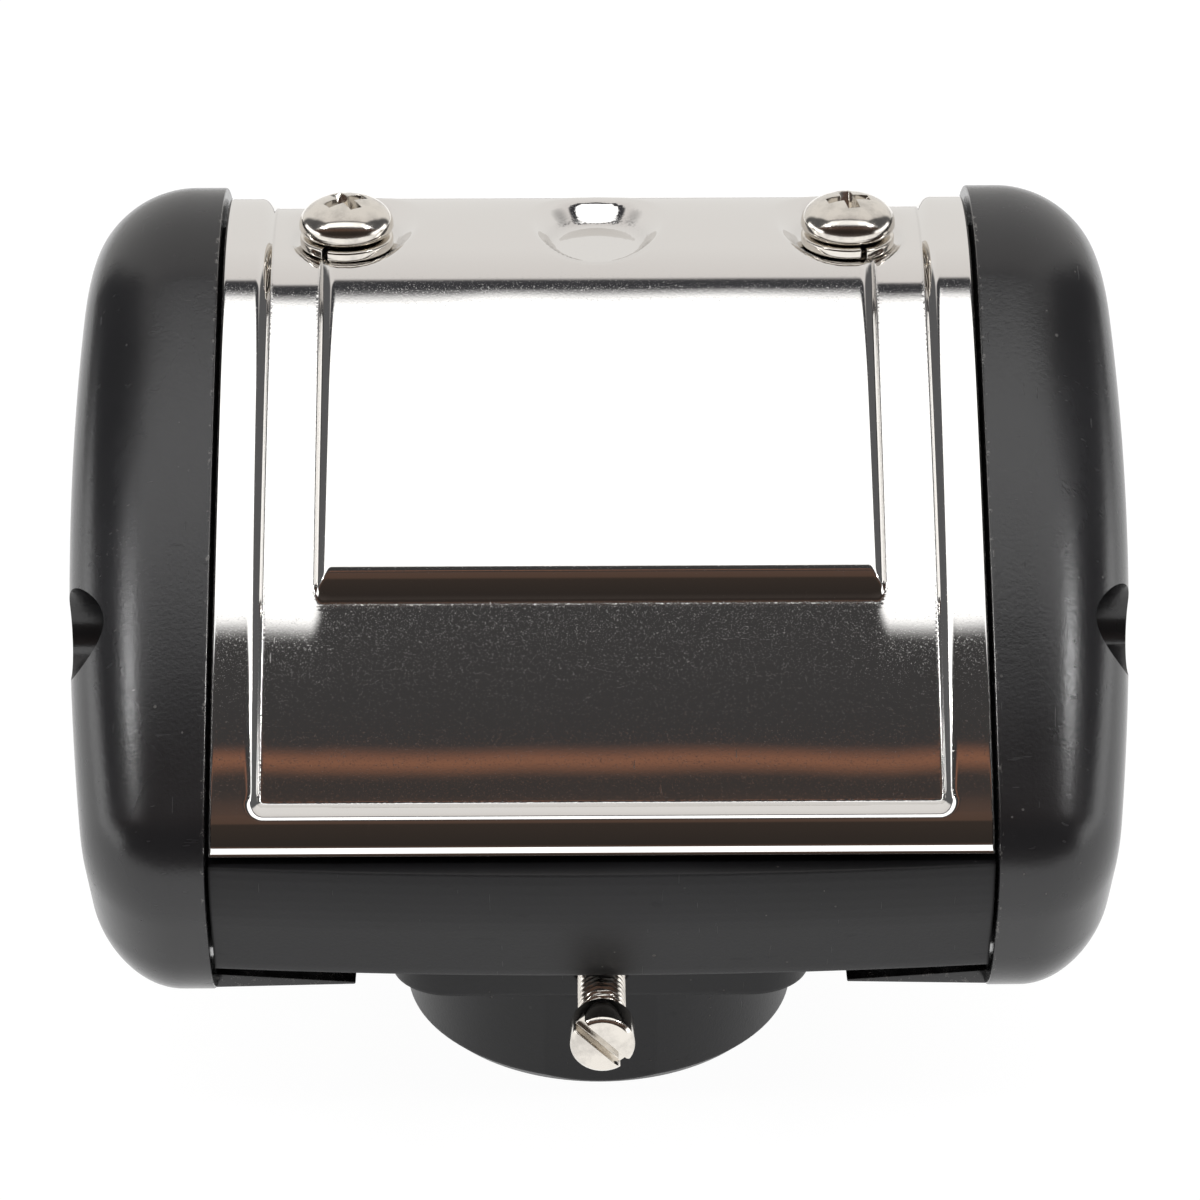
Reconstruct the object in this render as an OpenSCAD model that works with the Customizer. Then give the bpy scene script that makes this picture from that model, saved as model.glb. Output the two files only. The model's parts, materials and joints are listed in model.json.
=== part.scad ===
// Pneumatic milking pulsator with two pulse outlets.
// Millimetres, +Z up, the front with the rate screw faces -Y, the shuttle runs along X.
// The origin is the centre of the vacuum inlet in the base's lower face.

/* [Overall] */
// Length over both end caps
overall_length = 105; // [100:1:112]
// Depth of the end caps from front to back
cap_depth = 68; // [66:1:72]
// Height of the caps' underside above the base's lower face
cap_bottom_z = 16; // [15.5:0.5:17]
// Height of the caps' crest above the base's lower face
cap_crest_z = 81; // [79:0.5:83]

/* [End caps] */
// Thickness of an end cap along the shuttle
cap_thickness = 14.7; // [14:0.1:17]
// Reach of the rounded outer edge, in from the outline
cap_fillet = 9.2; // [8:0.1:9.6]
// Depth of the rounded outer edge along the shuttle
cap_fillet_depth = 11.5; // [9:0.25:12]
// Radius of the gently crowned outer face
cap_crown = 333; // [250:1:600]
// Wall of the cap's moulding
cap_wall = 3; // [2:0.25:3.5]
// Radius of the lower front corner
toe_radius = 10; // [8:0.5:11]
// How far the lower front corner lies behind the nose
toe_setback = 1.4; // [0.5:0.1:2.5]
// Radius of the nose at the foot of the sloping front
nose_radius = 12; // [10:0.5:13]
// Height of the nose's centre
nose_z = 31.5; // [30:0.5:33]
// Steepness of the sloping front at its foot, from the horizontal
slope_start = 49; // [48:0.5:51]
// Radius of the shoulder above the sloping front
shoulder_radius = 20; // [16:0.5:24]
// Radius of the upper rear corner
crown_radius = 13; // [10:0.5:15]
// Radius of the lower rear corner
heel_radius = 10; // [8:0.5:12]

/* [Cap screws] */
// Radius of the ring of cap screws round the shuttle
cap_screw_ring = 20; // [19.5:0.25:20.5]
// Direction of the upper cap screw, above the rear
cap_screw_turn = 57; // [52:1:60]
// Radius of the counterbore over a screw head
cap_screw_counterbore = 4.5; // [4:0.1:5]
// Depth of that counterbore from the cap's outer face
cap_screw_sink = 7.5; // [6:0.25:8.5]
// Thread radius of a cap screw
cap_screw_radius = 2; // [1.5:0.25:2.25]
// Head radius of a cap screw
cap_screw_head = 3.8; // [3:0.1:4]
// Head height of a cap screw
cap_screw_head_height = 2.6; // [2:0.1:3]

/* [Steel cover] */
// Thickness of the stamped sheet
sheet = 0.8; // [0.6:0.1:1.2]
// How far the caps stand proud of the cover
cover_inset = 1; // [0.6:0.1:1.5]
// Width of the raised rim's flat along each side
rim_width = 3; // [2:0.1:4]
// Width of the channel's floor between the rim and the centre panel
channel_width = 3.8; // [2.5:0.1:5]
// Depth of the channel between the rim and the panel
channel_depth = 1.2; // [0.6:0.1:1.5]
// Width of a stamped step, which rolls off from the raised side to a sharp foot
step_width = 2.8; // [2:0.1:3.2]
// Distance of the panel's lower edge up the slope
panel_foot = 22; // [18:0.5:26]
// Height of the cover's lower front edge
cover_edge_z = 35.4; // [35:0.1:37]
// Height of the cover's rear edge
cover_rear_z = 50; // [44:1:58]
// How far the lower edge is turned out
lip_out = 0.4; // [0:0.1:0.6]

/* [Cover screws] */
// Distance between the two cover screws
cover_screw_pitch = 50.5; // [48:0.5:51]
// Distance of the screws behind the inlet's centre
cover_screw_y = 16.5; // [15:0.5:18]
// Depth of the flat seats stamped in the cover's crest
seat_depth = 2.4; // [1.6:0.1:3]
// Radius of a stamped seat
seat_radius = 4.9; // [4.8:0.1:5.4]
// Radius of the centre dimple
dimple_radius = 4.2; // [3:0.1:5]
// Thread radius of a cover screw
cover_screw_radius = 2.5; // [2:0.25:3]
// Length of a cover screw below its seat
cover_screw_length = 12; // [10:0.5:14]
// Head radius of a cover screw
cover_head_radius = 4.75; // [4:0.05:5]
// Head height of a cover screw
cover_head_height = 3.7; // [3:0.1:4.2]
// Height of a split spring washer
spring_washer_height = 1.3; // [1:0.1:1.6]
// Width of a split spring washer's section
spring_washer_section = 2; // [1.5:0.1:2.2]

/* [Valve body] */
// Height of the deck that carries the valve seat
deck_z = 34.5; // [34:0.1:35]
// Height of the aprons' lower edge
apron_bottom_z = 22; // [21:0.5:24]
// How far the front apron bows out past the caps at its middle
apron_proud = 0.9; // [0.4:0.1:1.5]
// Sagitta of the front apron's bow
apron_bow = 1.6; // [1:0.1:2.5]
// Wall of the body's moulding
body_wall = 3; // [2.5:0.25:3.5]
// Gap between an apron and an end cap
apron_gap = 0.3; // [0.2:0.05:0.5]
// Half width of the core block under the deck
core_half_width = 21; // [20.5:0.25:22]
// Front face of the core block, ahead of the inlet's centre
core_front = 23.4; // [22:0.2:25]
// Rounding of the core block's corners
core_corner = 6; // [3:0.5:8]
// Thickness of an end wall, with its diaphragm recess
end_wall = 9; // [8:0.25:10]

/* [Shuttle] */
// Distance of the shuttle's axis behind the inlet's centre
shuttle_y = 7; // [6.5:0.1:8]
// Height of the shuttle's axis above the deck
shuttle_rise = 13.5; // [13:0.25:14]
// Travel of the shuttle each way
shuttle_travel = 3; // [2:0.25:3]
// Radius of the shuttle rod
rod_radius = 2.5; // [2:0.1:2.75]
// Running clearance of the rod in its bushes
rod_clearance = 0.05; // [0.02:0.01:0.1]
// Outer radius of a rod bush
bush_radius = 4; // [3.5:0.1:4.2]
// Thickness of a diaphragm
diaphragm_thickness = 1.3; // [1:0.1:2]
// Radius of the diaphragm chambers
chamber_radius = 14.8; // [13:0.1:15]
// Depth of the chamber in an end cap
chamber_depth = 10.2; // [9.9:0.1:11]
// Radius of the diaphragm's clamping plates
plate_radius = 9.5; // [8:0.25:10]
// Thickness of a clamping plate
plate_thickness = 1.5; // [1:0.1:1.5]
// Height of a rod nut
nut_height = 4; // [3:0.25:4]
// Width of a rod nut over its flats
nut_flats = 8; // [7:0.25:9]

/* [Slide valve] */
// Thickness of the seat gasket
gasket_thickness = 0.8; // [0.5:0.1:1]
// Thickness of the valve seat plate
seat_plate_thickness = 3; // [2.5:0.1:3.2]
// Distance of the pulse ports from the middle
port_x = 10; // [9.5:0.25:10.5]
// Radius of the pulse ports
port_radius = 2.6; // [2:0.1:2.75]
// Radius of the vacuum port
vacuum_port_radius = 3.2; // [2.5:0.1:3.5]
// Distance of the pilot slide ahead of the shuttle's axis
pilot_offset = 16; // [15.5:0.5:17]
// Radius of the pilot ports
pilot_port_radius = 1; // [0.6:0.1:1.2]
// Length of the main slide
main_slide_length = 34; // [32:0.5:36]
// Width of the main slide
main_slide_width = 13; // [12:0.5:15]
// Height of the main slide's plate
main_slide_height = 4; // [3.5:0.25:4]
// Length of the driver between the main slide's lugs
driver_length = 12; // [10:0.5:14]
// Length of the pilot slide
pilot_slide_length = 12; // [11:0.5:14]
// Width of the pilot slide
pilot_slide_width = 7; // [6:0.5:7]
// Height of the foam air filter
filter_height = 5.5; // [4:0.25:5.5]

/* [Base and outlets] */
// Radius of the base connector
base_radius = 20.2; // [19.5:0.1:21]
// Height of the base connector
base_height = 13; // [12.5:0.1:13]
// Thickness of the gasket between the base and the core block
base_gasket_thickness = 0.5; // [0.4:0.1:1]
// Distance of the small flat on the base's front
base_flat = 19.4; // [18:0.1:20]
// Radius of the vacuum inlet
inlet_radius = 9; // [7:0.25:10]
// Depth of the vacuum inlet
inlet_depth = 10; // [8:0.5:10.5]
// Radius of the ring of base screws
base_screw_ring = 14.8; // [14:0.1:15.5]
// Thread radius of a base screw
base_screw_radius = 1.75; // [1.25:0.25:2]
// Head radius of a base screw
base_screw_head = 3; // [2.5:0.1:3.2]
// Depth of a base screw in the core block
base_screw_grip = 6.5; // [5:0.5:7]
// Distance of each pulse nipple from the middle
nipple_x = 12; // [11.5:0.25:13]
// Height of the pulse nipples' axis
nipple_z = 28; // [27.5:0.25:28.5]
// Outer radius of a pulse nipple
nipple_radius = 4; // [3.5:0.1:4.5]
// Bore radius of a pulse nipple
nipple_bore = 2.75; // [2:0.05:3]
// Length of a pulse nipple behind the body
nipple_length = 23; // [18:0.5:30]

/* [Rate screw] */
// Height of the rate screw's axis above the core block's lower face
rate_height = 3.9; // [3.6:0.1:4.5]
// Thread radius of the rate screw
rate_radius = 2.35; // [2:0.05:2.5]
// Head radius of the rate screw
rate_head_radius = 3.125; // [2.75:0.025:3.5]
// Length of the rate screw's head
rate_head_length = 3.7; // [3:0.1:4.5]
// Length of shank between the core block and the head
rate_shank_out = 11; // [9:0.5:12]
// Width of the screwdriver slot
rate_slot = 1.2; // [0.8:0.1:1.4]
// Section radius of the O-ring on the rate screw
o_ring_section = 0.65; // [0.5:0.05:0.75]

/* [Hidden] */

plastic = "#2c2c2f";
rubber = "#1b1b1c";
steel = "#c9c7c3";
nickel = "#b9b2a6";
brass = "#b98d3e";
slide_plastic = "#d9d4c6";
foam = "#3c3d40";

round_fn = 64; // segments of round pieces
hull_fn = 40; // segments of the hulled corner discs
bow_fn = 720; // segments of the wide bow
eps = 0.02; // overrun of cuts
fit = 0.05; // radial gap of a thread or pin in its hole
seat_gap = 0.3; // gap round a loose piece

// Places along the shuttle, from the middle outwards
cap_outer_x = overall_length / 2;
shuttle_z = deck_z + shuttle_rise;
seat_z = cap_crest_z - cover_inset - seat_depth;
cap_inner_x = cap_outer_x - cap_thickness;
body_end_x = cap_inner_x - diaphragm_thickness;
apron_end_x = cap_inner_x - apron_gap;
cover_half_width = cap_inner_x - apron_gap - 0.1;
wall_inner_x = body_end_x - end_wall;
recess_depth = end_wall - body_wall;
outer_plate_x = cap_inner_x + plate_thickness;
nut_x = outer_plate_x + nut_height;
rod_end_x = nut_x + 1;

// Outline of the end caps: corner circles as [y, z, radius], front to back over the top
cap_front_y = -cap_depth / 2;
cap_back_y = cap_depth / 2;
toe = [cap_front_y + toe_setback + toe_radius, cap_bottom_z + toe_radius, toe_radius];
nose = [cap_front_y + nose_radius, nose_z, nose_radius];
crown = [cap_back_y - crown_radius, cap_crest_z - crown_radius, crown_radius];
heel = [cap_back_y - heel_radius, cap_bottom_z + heel_radius, heel_radius];
crown_top = [shuttle_y - 8, shuttle_z + 12]; // summit of the crowned outer face
tongue_reach = 13.6; // past the cap's inner face
tongue_root = 1.6; // height where it leaves the cap
tongue_tip = 0.3; // height at its end
tongue_depth = 3.5;
tongue_rise = 1; // above the caps' underside
shoulder_swing = shoulder_radius - crown_radius;
function shoulder(turn) = [crown[0] - shoulder_swing * sin(turn),
    crown[1] - shoulder_swing * (1 - cos(turn)), crown_radius];
// The sloping front is one wide arc, tangent to the nose and to the shoulder
shoulder_centre = [crown[0], crown[1] - shoulder_swing];
slope_gap = [nose[0], nose[1]] - shoulder_centre;
slope_foot = [-sin(slope_start), cos(slope_start)];
slope_reach = slope_gap * slope_foot;
slope_radius = (slope_gap * slope_gap + 2 * nose_radius * slope_reach - pow(shoulder_radius, 2)
    + pow(nose_radius, 2)) / (2 * slope_reach - 2 * (shoulder_radius - nose_radius));
slope_centre = [nose[0], nose[1]] - slope_foot * (slope_radius - nose_radius);
slope_top = shoulder_centre - slope_centre;
front_turn = 90 + slope_start;
upper_turn = atan2(slope_top[1], slope_top[0]);
slope_parts = 6; // discs along the slope
shoulder_parts = 4; // discs along the shoulder
function slope_disc(turn) = [slope_centre[0] + (slope_radius - nose_radius) * cos(turn),
    slope_centre[1] + (slope_radius - nose_radius) * sin(turn), nose_radius];
slope_discs = [for (i = [0:slope_parts]) slope_disc(between(front_turn, upper_turn, i / slope_parts))];
shoulder_discs = [for (i = [0:shoulder_parts]) shoulder(between(upper_turn, 90, i / shoulder_parts) - 90)];
cap_corners = concat([toe], slope_discs, shoulder_discs, [heel]);

// Direction of the outward normal on the straight run from circle a to circle b
function run_normal(a, b) = atan2(b[1] - a[1], b[0] - a[0])
    + acos((a[2] - b[2]) / norm([b[0] - a[0], b[1] - a[1]]));
function rim_point(c, turn, inset) = [c[0] + (c[2] - inset) * cos(turn), c[1] + (c[2] - inset) * sin(turn)];
function between(a, b, t) = a + (b - a) * t;
// Share of a stamped step's depth, t across it from the raised side
function sink(t) = t <= 0 ? 0 : t >= 1 ? 1 : t * t;

// Stations over the cover's profile: [circle, direction, inside the rim, on the panel, turned lip]
cover_nose_radius = nose_radius - cover_inset;
edge_turn = 180 - asin((cover_edge_z - nose_z) / cover_nose_radius);
lip_turn = edge_turn - 5;
rim_lead = 1; // run of the lower rim's step on the nose, before the slope
nose_end_turn = front_turn + rim_lead / cover_nose_radius * 180 / PI;
slope_length = (slope_radius - cover_inset) * (front_turn - upper_turn) * PI / 180;
step_run = step_width / slope_length; // shares of the slope
rim_start = -rim_lead / slope_length;
panel_start = panel_foot / slope_length;
step_parts = 3; // facets across a stamped step
function slope_turn(t) = between(front_turn, upper_turn, t);
function slope_station(t, rim, panel) = [[slope_centre[0], slope_centre[1], slope_radius], slope_turn(t),
    rim, panel, 0];
shoulder_circle = [shoulder_centre[0], shoulder_centre[1], shoulder_radius];
lip_stations = [[nose, edge_turn, 0, 0, 1], [nose, lip_turn, 0, 0, 0]];
nose_stations = [for (i = [1:3]) [nose, between(lip_turn, nose_end_turn, i / 3), 0, 0, 0]];
rim_stations = [for (i = [1:step_parts]) slope_station(rim_start + step_run * i / step_parts,
    sink(i / step_parts), 0)];
channel_stations = [for (i = [1:3]) slope_station(between(rim_start + step_run, panel_start, i / 4), 1, 0)];
panel_stations = [for (i = [0:step_parts]) slope_station(panel_start + step_run * i / step_parts,
    1, 1 - sink(1 - i / step_parts))];
slope_stations = [for (i = [1:5]) slope_station(between(panel_start + step_run, 1, i / 5), 1, 1)];
shoulder_stations = [for (i = [1:6]) [shoulder_circle, between(upper_turn, 90, i / 6), 1, 1, 0]];
crown_stations = [for (i = [1:6]) [crown, 90 - 15 * i, 1, 1, 0]];
rear_station = [[[crown[0], cover_rear_z, crown_radius], 0, 1, 1, 0]];
cover_stations = concat(lip_stations, nose_stations, rim_stations, channel_stations, panel_stations,
    slope_stations, shoulder_stations, crown_stations, rear_station);

// Columns across the cover, from the left edge to the right
rim_x = cover_half_width - rim_width;
panel_half_width = rim_x - 2 * step_width - channel_width;
half_columns = concat(
    [for (i = [0:step_parts]) panel_half_width + step_width * i / step_parts],
    [for (i = [0:step_parts]) rim_x - step_width * (1 - i / step_parts)],
    [cover_half_width]);
column_count = len(half_columns);
cover_columns = concat([for (i = [column_count - 1:-1:0]) -half_columns[i]], half_columns);
function inside_rim(x) = sink((rim_x - abs(x)) / step_width);
function on_panel(x) = 1 - sink((abs(x) - panel_half_width) / step_width);
function emboss(x, s) = lip_out * s[4]
    - channel_depth * (inside_rim(x) * s[2] - on_panel(x) * s[3] * s[2]);

// Insets from the caps' outline
wall_inset = cover_inset + sheet + channel_depth + seat_gap;
diaphragm_inset = wall_inset + 0.7;

cap_screw_places = [for (i = [0:2]) [shuttle_y + cap_screw_ring * cos(cap_screw_turn + 120 * i),
    shuttle_z + cap_screw_ring * sin(cap_screw_turn + 120 * i)]];
cap_screw_seat_x = cap_outer_x - cap_screw_sink;
cap_screw_tip_x = body_end_x - end_wall + 2;
screw_boss = 5;
cover_screw_x = cover_screw_pitch / 2;
post_top_z = seat_z - sheet;
post_radius = 4.5;
insert_radius = 3.2;
insert_length = 8;
seat_flare = 1.2; // slope of a seat's flank
dish_wall = 0.6; // share of the sheet by which a dish is wider outside
body_back_y = cap_back_y - 1;
apron_axis_y = cap_front_y - apron_proud + (pow(apron_end_x, 2) + pow(apron_bow, 2)) / (2 * apron_bow);
apron_back_y = cap_front_y + 2.6;
core_back = body_back_y - body_wall + 0.5;
gasket_top_z = deck_z + gasket_thickness;
plate_top_z = gasket_top_z + seat_plate_thickness;
seat_plate_half = [main_slide_length / 2 + shuttle_travel + 0.2, 11]; // half length, reach behind the shuttle
seat_plate_front = 22; // reach of the seat plate ahead of the shuttle
filter_corner = 1.5; // rounding of the filter's ends
pilot_y = shuttle_y - pilot_offset;
pilot_port_x = 3.5;
peg_z = plate_top_z + 1.6; // lower end of the driver's peg in the pilot slide
peg_radius = 1.5;
main_slide_top_z = plate_top_z + main_slide_height;
driver_bottom_z = main_slide_top_z + 0.2;
base_gasket_inner = 12;
core_bottom_z = base_height + base_gasket_thickness;
rate_z = core_bottom_z + rate_height;
rate_head_back_y = -core_front - rate_shank_out;
rate_tip_y = -2;
rate_cone = 4;
rate_seal_y = -15.1;
rate_seal_groove = 0.95; // half length of the O-ring's groove
groove_floor = rate_radius - o_ring_section - fit;

// Mirrored copy for the left side
module on_side(side) {
    if (side < 0) mirror([1, 0, 0]) children();
    else children();
}

// Round bar along X from x0 to x1, at y and z
module bar_x(x0, x1, r, y, z) {
    translate([x0, y, z]) rotate([0, 90, 0]) cylinder(r = r, h = x1 - x0, $fn = round_fn);
}

// Round bar along Y from y0 to y1, at x and z
module bar_y(y0, y1, r, x, z) {
    translate([x, y0, z]) rotate([-90, 0, 0]) cylinder(r = r, h = y1 - y0, $fn = round_fn);
}

// Upright round bar from z0 to z1
module bar_z(z0, z1, r, x, y) {
    translate([x, y, z0]) cylinder(r = r, h = z1 - z0, $fn = round_fn);
}

// Box between two corners
module box(low, high) {
    translate(low) cube(high - low);
}

// Profile in [y, z] drawn out along X from x0 to x1
module slab_x(x0, x1) {
    translate([x0, 0, 0]) rotate([90, 0, 90]) linear_extrude(x1 - x0) children();
}

// Upright block with rounded corners
module rounded_block(low, high, r) {
    box([low[0] + r, low[1], low[2]], [high[0] - r, high[1], high[2]]);
    box([low[0], low[1] + r, low[2]], [high[0], high[1] - r, high[2]]);
    for (x = [low[0] + r, high[0] - r], y = [low[1] + r, high[1] - r]) bar_z(low[2], high[2], r, x, y);
}

// Corner disc of a cap, with its outer edge rounded
module corner_disc(c, inset, thickness) {
    r = c[2] - inset;
    reach = min(cap_fillet - inset, r - 0.2);
    depth = min(cap_fillet_depth - inset, thickness - 0.2);
    edge = [for (i = [0:8]) [r - reach + reach * cos(i * 90 / 8), thickness - depth + depth * sin(i * 90 / 8)]];
    translate([cap_inner_x, c[0], c[1]]) rotate([0, 90, 0])
        rotate_extrude($fn = hull_fn) polygon(concat([[0, 0], [r, 0]], edge, [[0, thickness]]));
}

// Smooth moulded form of a cap, drawn in by an inset, under its crowned face
module cap_form(inset, thickness) {
    reach = cap_depth; // as far as the crown spreads round its summit
    low = cap_crown - 2 * cap_thickness;
    parts = 12;
    span = asin(reach / cap_crown);
    arc = [for (i = [0:parts]) cap_crown * [sin(span * i / parts), cos(span * i / parts)]];
    intersection() {
        hull() for (c = cap_corners) corner_disc(c, inset, thickness);
        translate([cap_outer_x - inset - cap_crown, crown_top[0], crown_top[1]]) rotate([0, 90, 0])
            rotate_extrude($fn = round_fn * 2) polygon(concat([[0, low]], arc, [[reach, low]]));
    }
}

// Tapered tongue of a cap under the body's front edge
module cap_tongue() {
    low = cap_bottom_z + tongue_rise;
    toe_turn = acos((toe[1] - low) / toe_radius);
    back_y = toe[0] - toe_radius * sin(toe_turn) + tongue_depth;
    translate([0, back_y, 0]) rotate([90, 0, 0]) linear_extrude(tongue_depth)
        polygon([[cap_inner_x + cap_wall, low], [cap_inner_x + cap_wall, low + tongue_root],
            [cap_inner_x - cap_wall, low + tongue_root], [cap_inner_x - tongue_reach, low + 2 * tongue_tip],
            [cap_inner_x - tongue_reach, low + tongue_tip]]);
}

module end_cap(side) {
    color(plastic) on_side(side) difference() {
        union() {
            cap_form(0, cap_thickness);
            cap_tongue();
        }
        difference() {
            translate([-eps, 0, 0]) cap_form(cap_wall, cap_thickness - cap_wall);
            bar_x(cap_inner_x - 1, cap_outer_x, chamber_radius + cap_wall - 0.5, shuttle_y, shuttle_z);
            for (p = cap_screw_places)
                bar_x(cap_inner_x - 1, cap_outer_x, cap_screw_counterbore + cap_wall - 0.5, p[0], p[1]);
        }
        bar_x(cap_inner_x - 1, cap_inner_x + chamber_depth, chamber_radius, shuttle_y, shuttle_z);
        for (p = cap_screw_places) {
            bar_x(cap_inner_x - 1, cap_outer_x + 1, cap_screw_radius + 0.25, p[0], p[1]);
            bar_x(cap_screw_seat_x, cap_outer_x + 1, cap_screw_counterbore, p[0], p[1]);
        }
    }
}

module cap_screws(side) {
    color(nickel) on_side(side) for (p = cap_screw_places) {
        bar_x(cap_screw_tip_x, cap_screw_seat_x + eps, cap_screw_radius - fit, p[0], p[1]);
        difference() {
            bar_x(cap_screw_seat_x, cap_screw_seat_x + cap_screw_head_height, cap_screw_head, p[0], p[1]);
            bar_x(cap_screw_seat_x + cap_screw_head_height / 2, cap_outer_x, cap_screw_head / 3, p[0], p[1]);
        }
    }
}

module diaphragm(side) {
    color(rubber) on_side(side) difference() {
        slab_x(body_end_x, cap_inner_x)
            hull() for (c = cap_corners) translate([c[0], c[1]]) circle(c[2] - diaphragm_inset, $fn = hull_fn);
        bar_x(body_end_x - 1, cap_inner_x + 1, rod_radius + fit, shuttle_y, shuttle_z);
        for (p = cap_screw_places) bar_x(body_end_x - 1, cap_inner_x + 1, cap_screw_radius + 0.25, p[0], p[1]);
    }
}

// Clamping plate of a diaphragm, with its rolled edge
module clamping_plate(side, x0) {
    roll = plate_thickness / 2;
    color(steel) on_side(side) difference() {
        union() {
            bar_x(x0, x0 + plate_thickness, plate_radius - roll, shuttle_y, shuttle_z);
            translate([x0 + roll, shuttle_y, shuttle_z]) rotate([0, 90, 0])
                rotate_extrude($fn = round_fn) translate([plate_radius - roll, 0]) circle(roll, $fn = 24);
        }
        bar_x(x0 - 1, x0 + plate_thickness + 1, rod_radius + fit, shuttle_y, shuttle_z);
    }
}

module shuttle_rod() {
    color(steel) bar_x(-rod_end_x, rod_end_x, rod_radius, shuttle_y, shuttle_z);
}

module rod_nut(side) {
    color(nickel) on_side(side) difference() {
        translate([outer_plate_x, shuttle_y, shuttle_z]) rotate([0, 90, 0])
            cylinder(d = nut_flats / cos(30), h = nut_height, $fn = 6);
        bar_x(outer_plate_x - 1, nut_x + 1, rod_radius + fit, shuttle_y, shuttle_z);
    }
}

module rod_bush(side) {
    color(brass) on_side(side) difference() {
        bar_x(wall_inner_x - 2, wall_inner_x + body_wall, bush_radius, shuttle_y, shuttle_z);
        bar_x(wall_inner_x - 3, body_end_x, rod_radius + rod_clearance, shuttle_y, shuttle_z);
    }
}

// Block on the rod with an arm that reaches forward to the pilot slide
module slide_driver() {
    half_width = rod_radius + 1.7;
    arm_top_z = driver_bottom_z + 2.4;
    color(slide_plastic) difference() {
        union() {
            rounded_block([-driver_length / 2, shuttle_y - half_width, driver_bottom_z],
                [driver_length / 2, shuttle_y + half_width, shuttle_z + half_width], 1.5);
            box([-2.5, pilot_y - 2.5, driver_bottom_z], [2.5, shuttle_y - half_width + 1, arm_top_z]);
            bar_z(peg_z, arm_top_z - eps, peg_radius, 0, pilot_y);
        }
        bar_x(-driver_length, driver_length, rod_radius + fit / 2, shuttle_y, shuttle_z);
    }
}

// Cup slide that joins one pulse port at a time to the vacuum port
module main_slide() {
    half = [main_slide_length / 2, main_slide_width / 2];
    lug = 2.5;
    cup = [port_x - port_radius + 1.2, main_slide_width / 2 - 2.5];
    color(slide_plastic) difference() {
        union() {
            rounded_block([-half[0], shuttle_y - half[1], plate_top_z],
                [half[0], shuttle_y + half[1], main_slide_top_z], 1.5);
            for (side = [-1, 1]) on_side(side)
                rounded_block([driver_length / 2 + fit, shuttle_y - half[1] + 1.5, main_slide_top_z - eps],
                    [driver_length / 2 + fit + lug, shuttle_y + half[1] - 1.5,
                    shuttle_z - rod_radius - 0.3], 1);
        }
        rounded_block([-cup[0], shuttle_y - cup[1], plate_top_z - 1],
            [cup[0], shuttle_y + cup[1], plate_top_z + main_slide_height - 1.4], 1.5);
    }
}

module pilot_slide() {
    half = [pilot_slide_length / 2, pilot_slide_width / 2];
    color(slide_plastic) difference() {
        rounded_block([-half[0], pilot_y - half[1], plate_top_z],
            [half[0], pilot_y + half[1], main_slide_top_z - 0.3], 1.2);
        bar_z(peg_z - fit, main_slide_top_z + 1, peg_radius + fit, 0, pilot_y);
        rounded_block([-pilot_port_x, pilot_y - 1.5, plate_top_z - 1], [pilot_port_x, pilot_y + 1.5,
            plate_top_z + 0.8], 1);
    }
}

// Ports through the seat plate, the gasket and the deck
module ports(z0, z1) {
    bar_z(z0, z1, vacuum_port_radius, 0, shuttle_y);
    for (side = [-1, 1]) bar_z(z0, z1, port_radius, side * port_x, shuttle_y);
}

module pilot_ports(z0, z1) {
    for (x = [-pilot_port_x, 0, pilot_port_x]) bar_z(z0, z1, pilot_port_radius, x, pilot_y);
}

// Plan of the seat plate and its gasket
module seat_layer(z0, z1) {
    difference() {
        rounded_block([-seat_plate_half[0], shuttle_y - seat_plate_front, z0],
            [seat_plate_half[0], shuttle_y + seat_plate_half[1], z1], 3);
        ports(z0 - 1, z1 + 1);
        pilot_ports(z0 - 1, z1 + 1);
    }
}

module valve_seat_plate() {
    color(steel) seat_layer(gasket_top_z, plate_top_z);
}

module seat_gasket() {
    color(rubber) seat_layer(deck_z, gasket_top_z);
}

// Foam strip behind the air gap at the cover's lower edge
module air_filter() {
    filter_top_z = deck_z + filter_height;
    filter_front = nose[0] - sqrt(pow(nose_radius - wall_inset, 2) - pow(filter_top_z - nose_z, 2));
    filter_back = shuttle_y - seat_plate_front - seat_gap;
    color(foam) rounded_block([-wall_inner_x + seat_gap, filter_front, deck_z],
        [wall_inner_x - seat_gap, filter_back, filter_top_z], filter_corner);
}

// Solid between the cover's outer face and a face the given thickness under it
module cover_sheet(thickness) {
    rows = len(cover_stations);
    columns = len(cover_columns);
    layer = rows * columns;
    function cover_point(i, j, depth) = let (s = cover_stations[i], x = cover_columns[j],
        p = rim_point(s[0], s[1], cover_inset - emboss(x, s) + depth)) [x, p[0], p[1]];
    points = [for (depth = [0, thickness], i = [0:rows - 1], j = [0:columns - 1]) cover_point(i, j, depth)];
    function at(k, i, j) = k * layer + i * columns + j;
    function quad(a, b, c, d) = [[a, b, c], [a, c, d]];
    outer = [for (i = [0:rows - 2], j = [0:columns - 2])
        each quad(at(0, i, j), at(0, i + 1, j), at(0, i + 1, j + 1), at(0, i, j + 1))];
    inner = [for (i = [0:rows - 2], j = [0:columns - 2])
        each quad(at(1, i, j), at(1, i, j + 1), at(1, i + 1, j + 1), at(1, i + 1, j))];
    front = [for (j = [0:columns - 2])
        each quad(at(0, 0, j), at(0, 0, j + 1), at(1, 0, j + 1), at(1, 0, j))];
    rear = [for (j = [0:columns - 2], i = [rows - 1])
        each quad(at(0, i, j), at(1, i, j), at(1, i, j + 1), at(0, i, j + 1))];
    left = [for (i = [0:rows - 2])
        each quad(at(0, i, 0), at(1, i, 0), at(1, i + 1, 0), at(0, i + 1, 0))];
    right = [for (i = [0:rows - 2], j = [columns - 1])
        each quad(at(0, i, j), at(0, i + 1, j), at(1, i + 1, j), at(1, i, j))];
    polyhedron(points, concat(outer, inner, front, rear, left, right));
}

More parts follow.
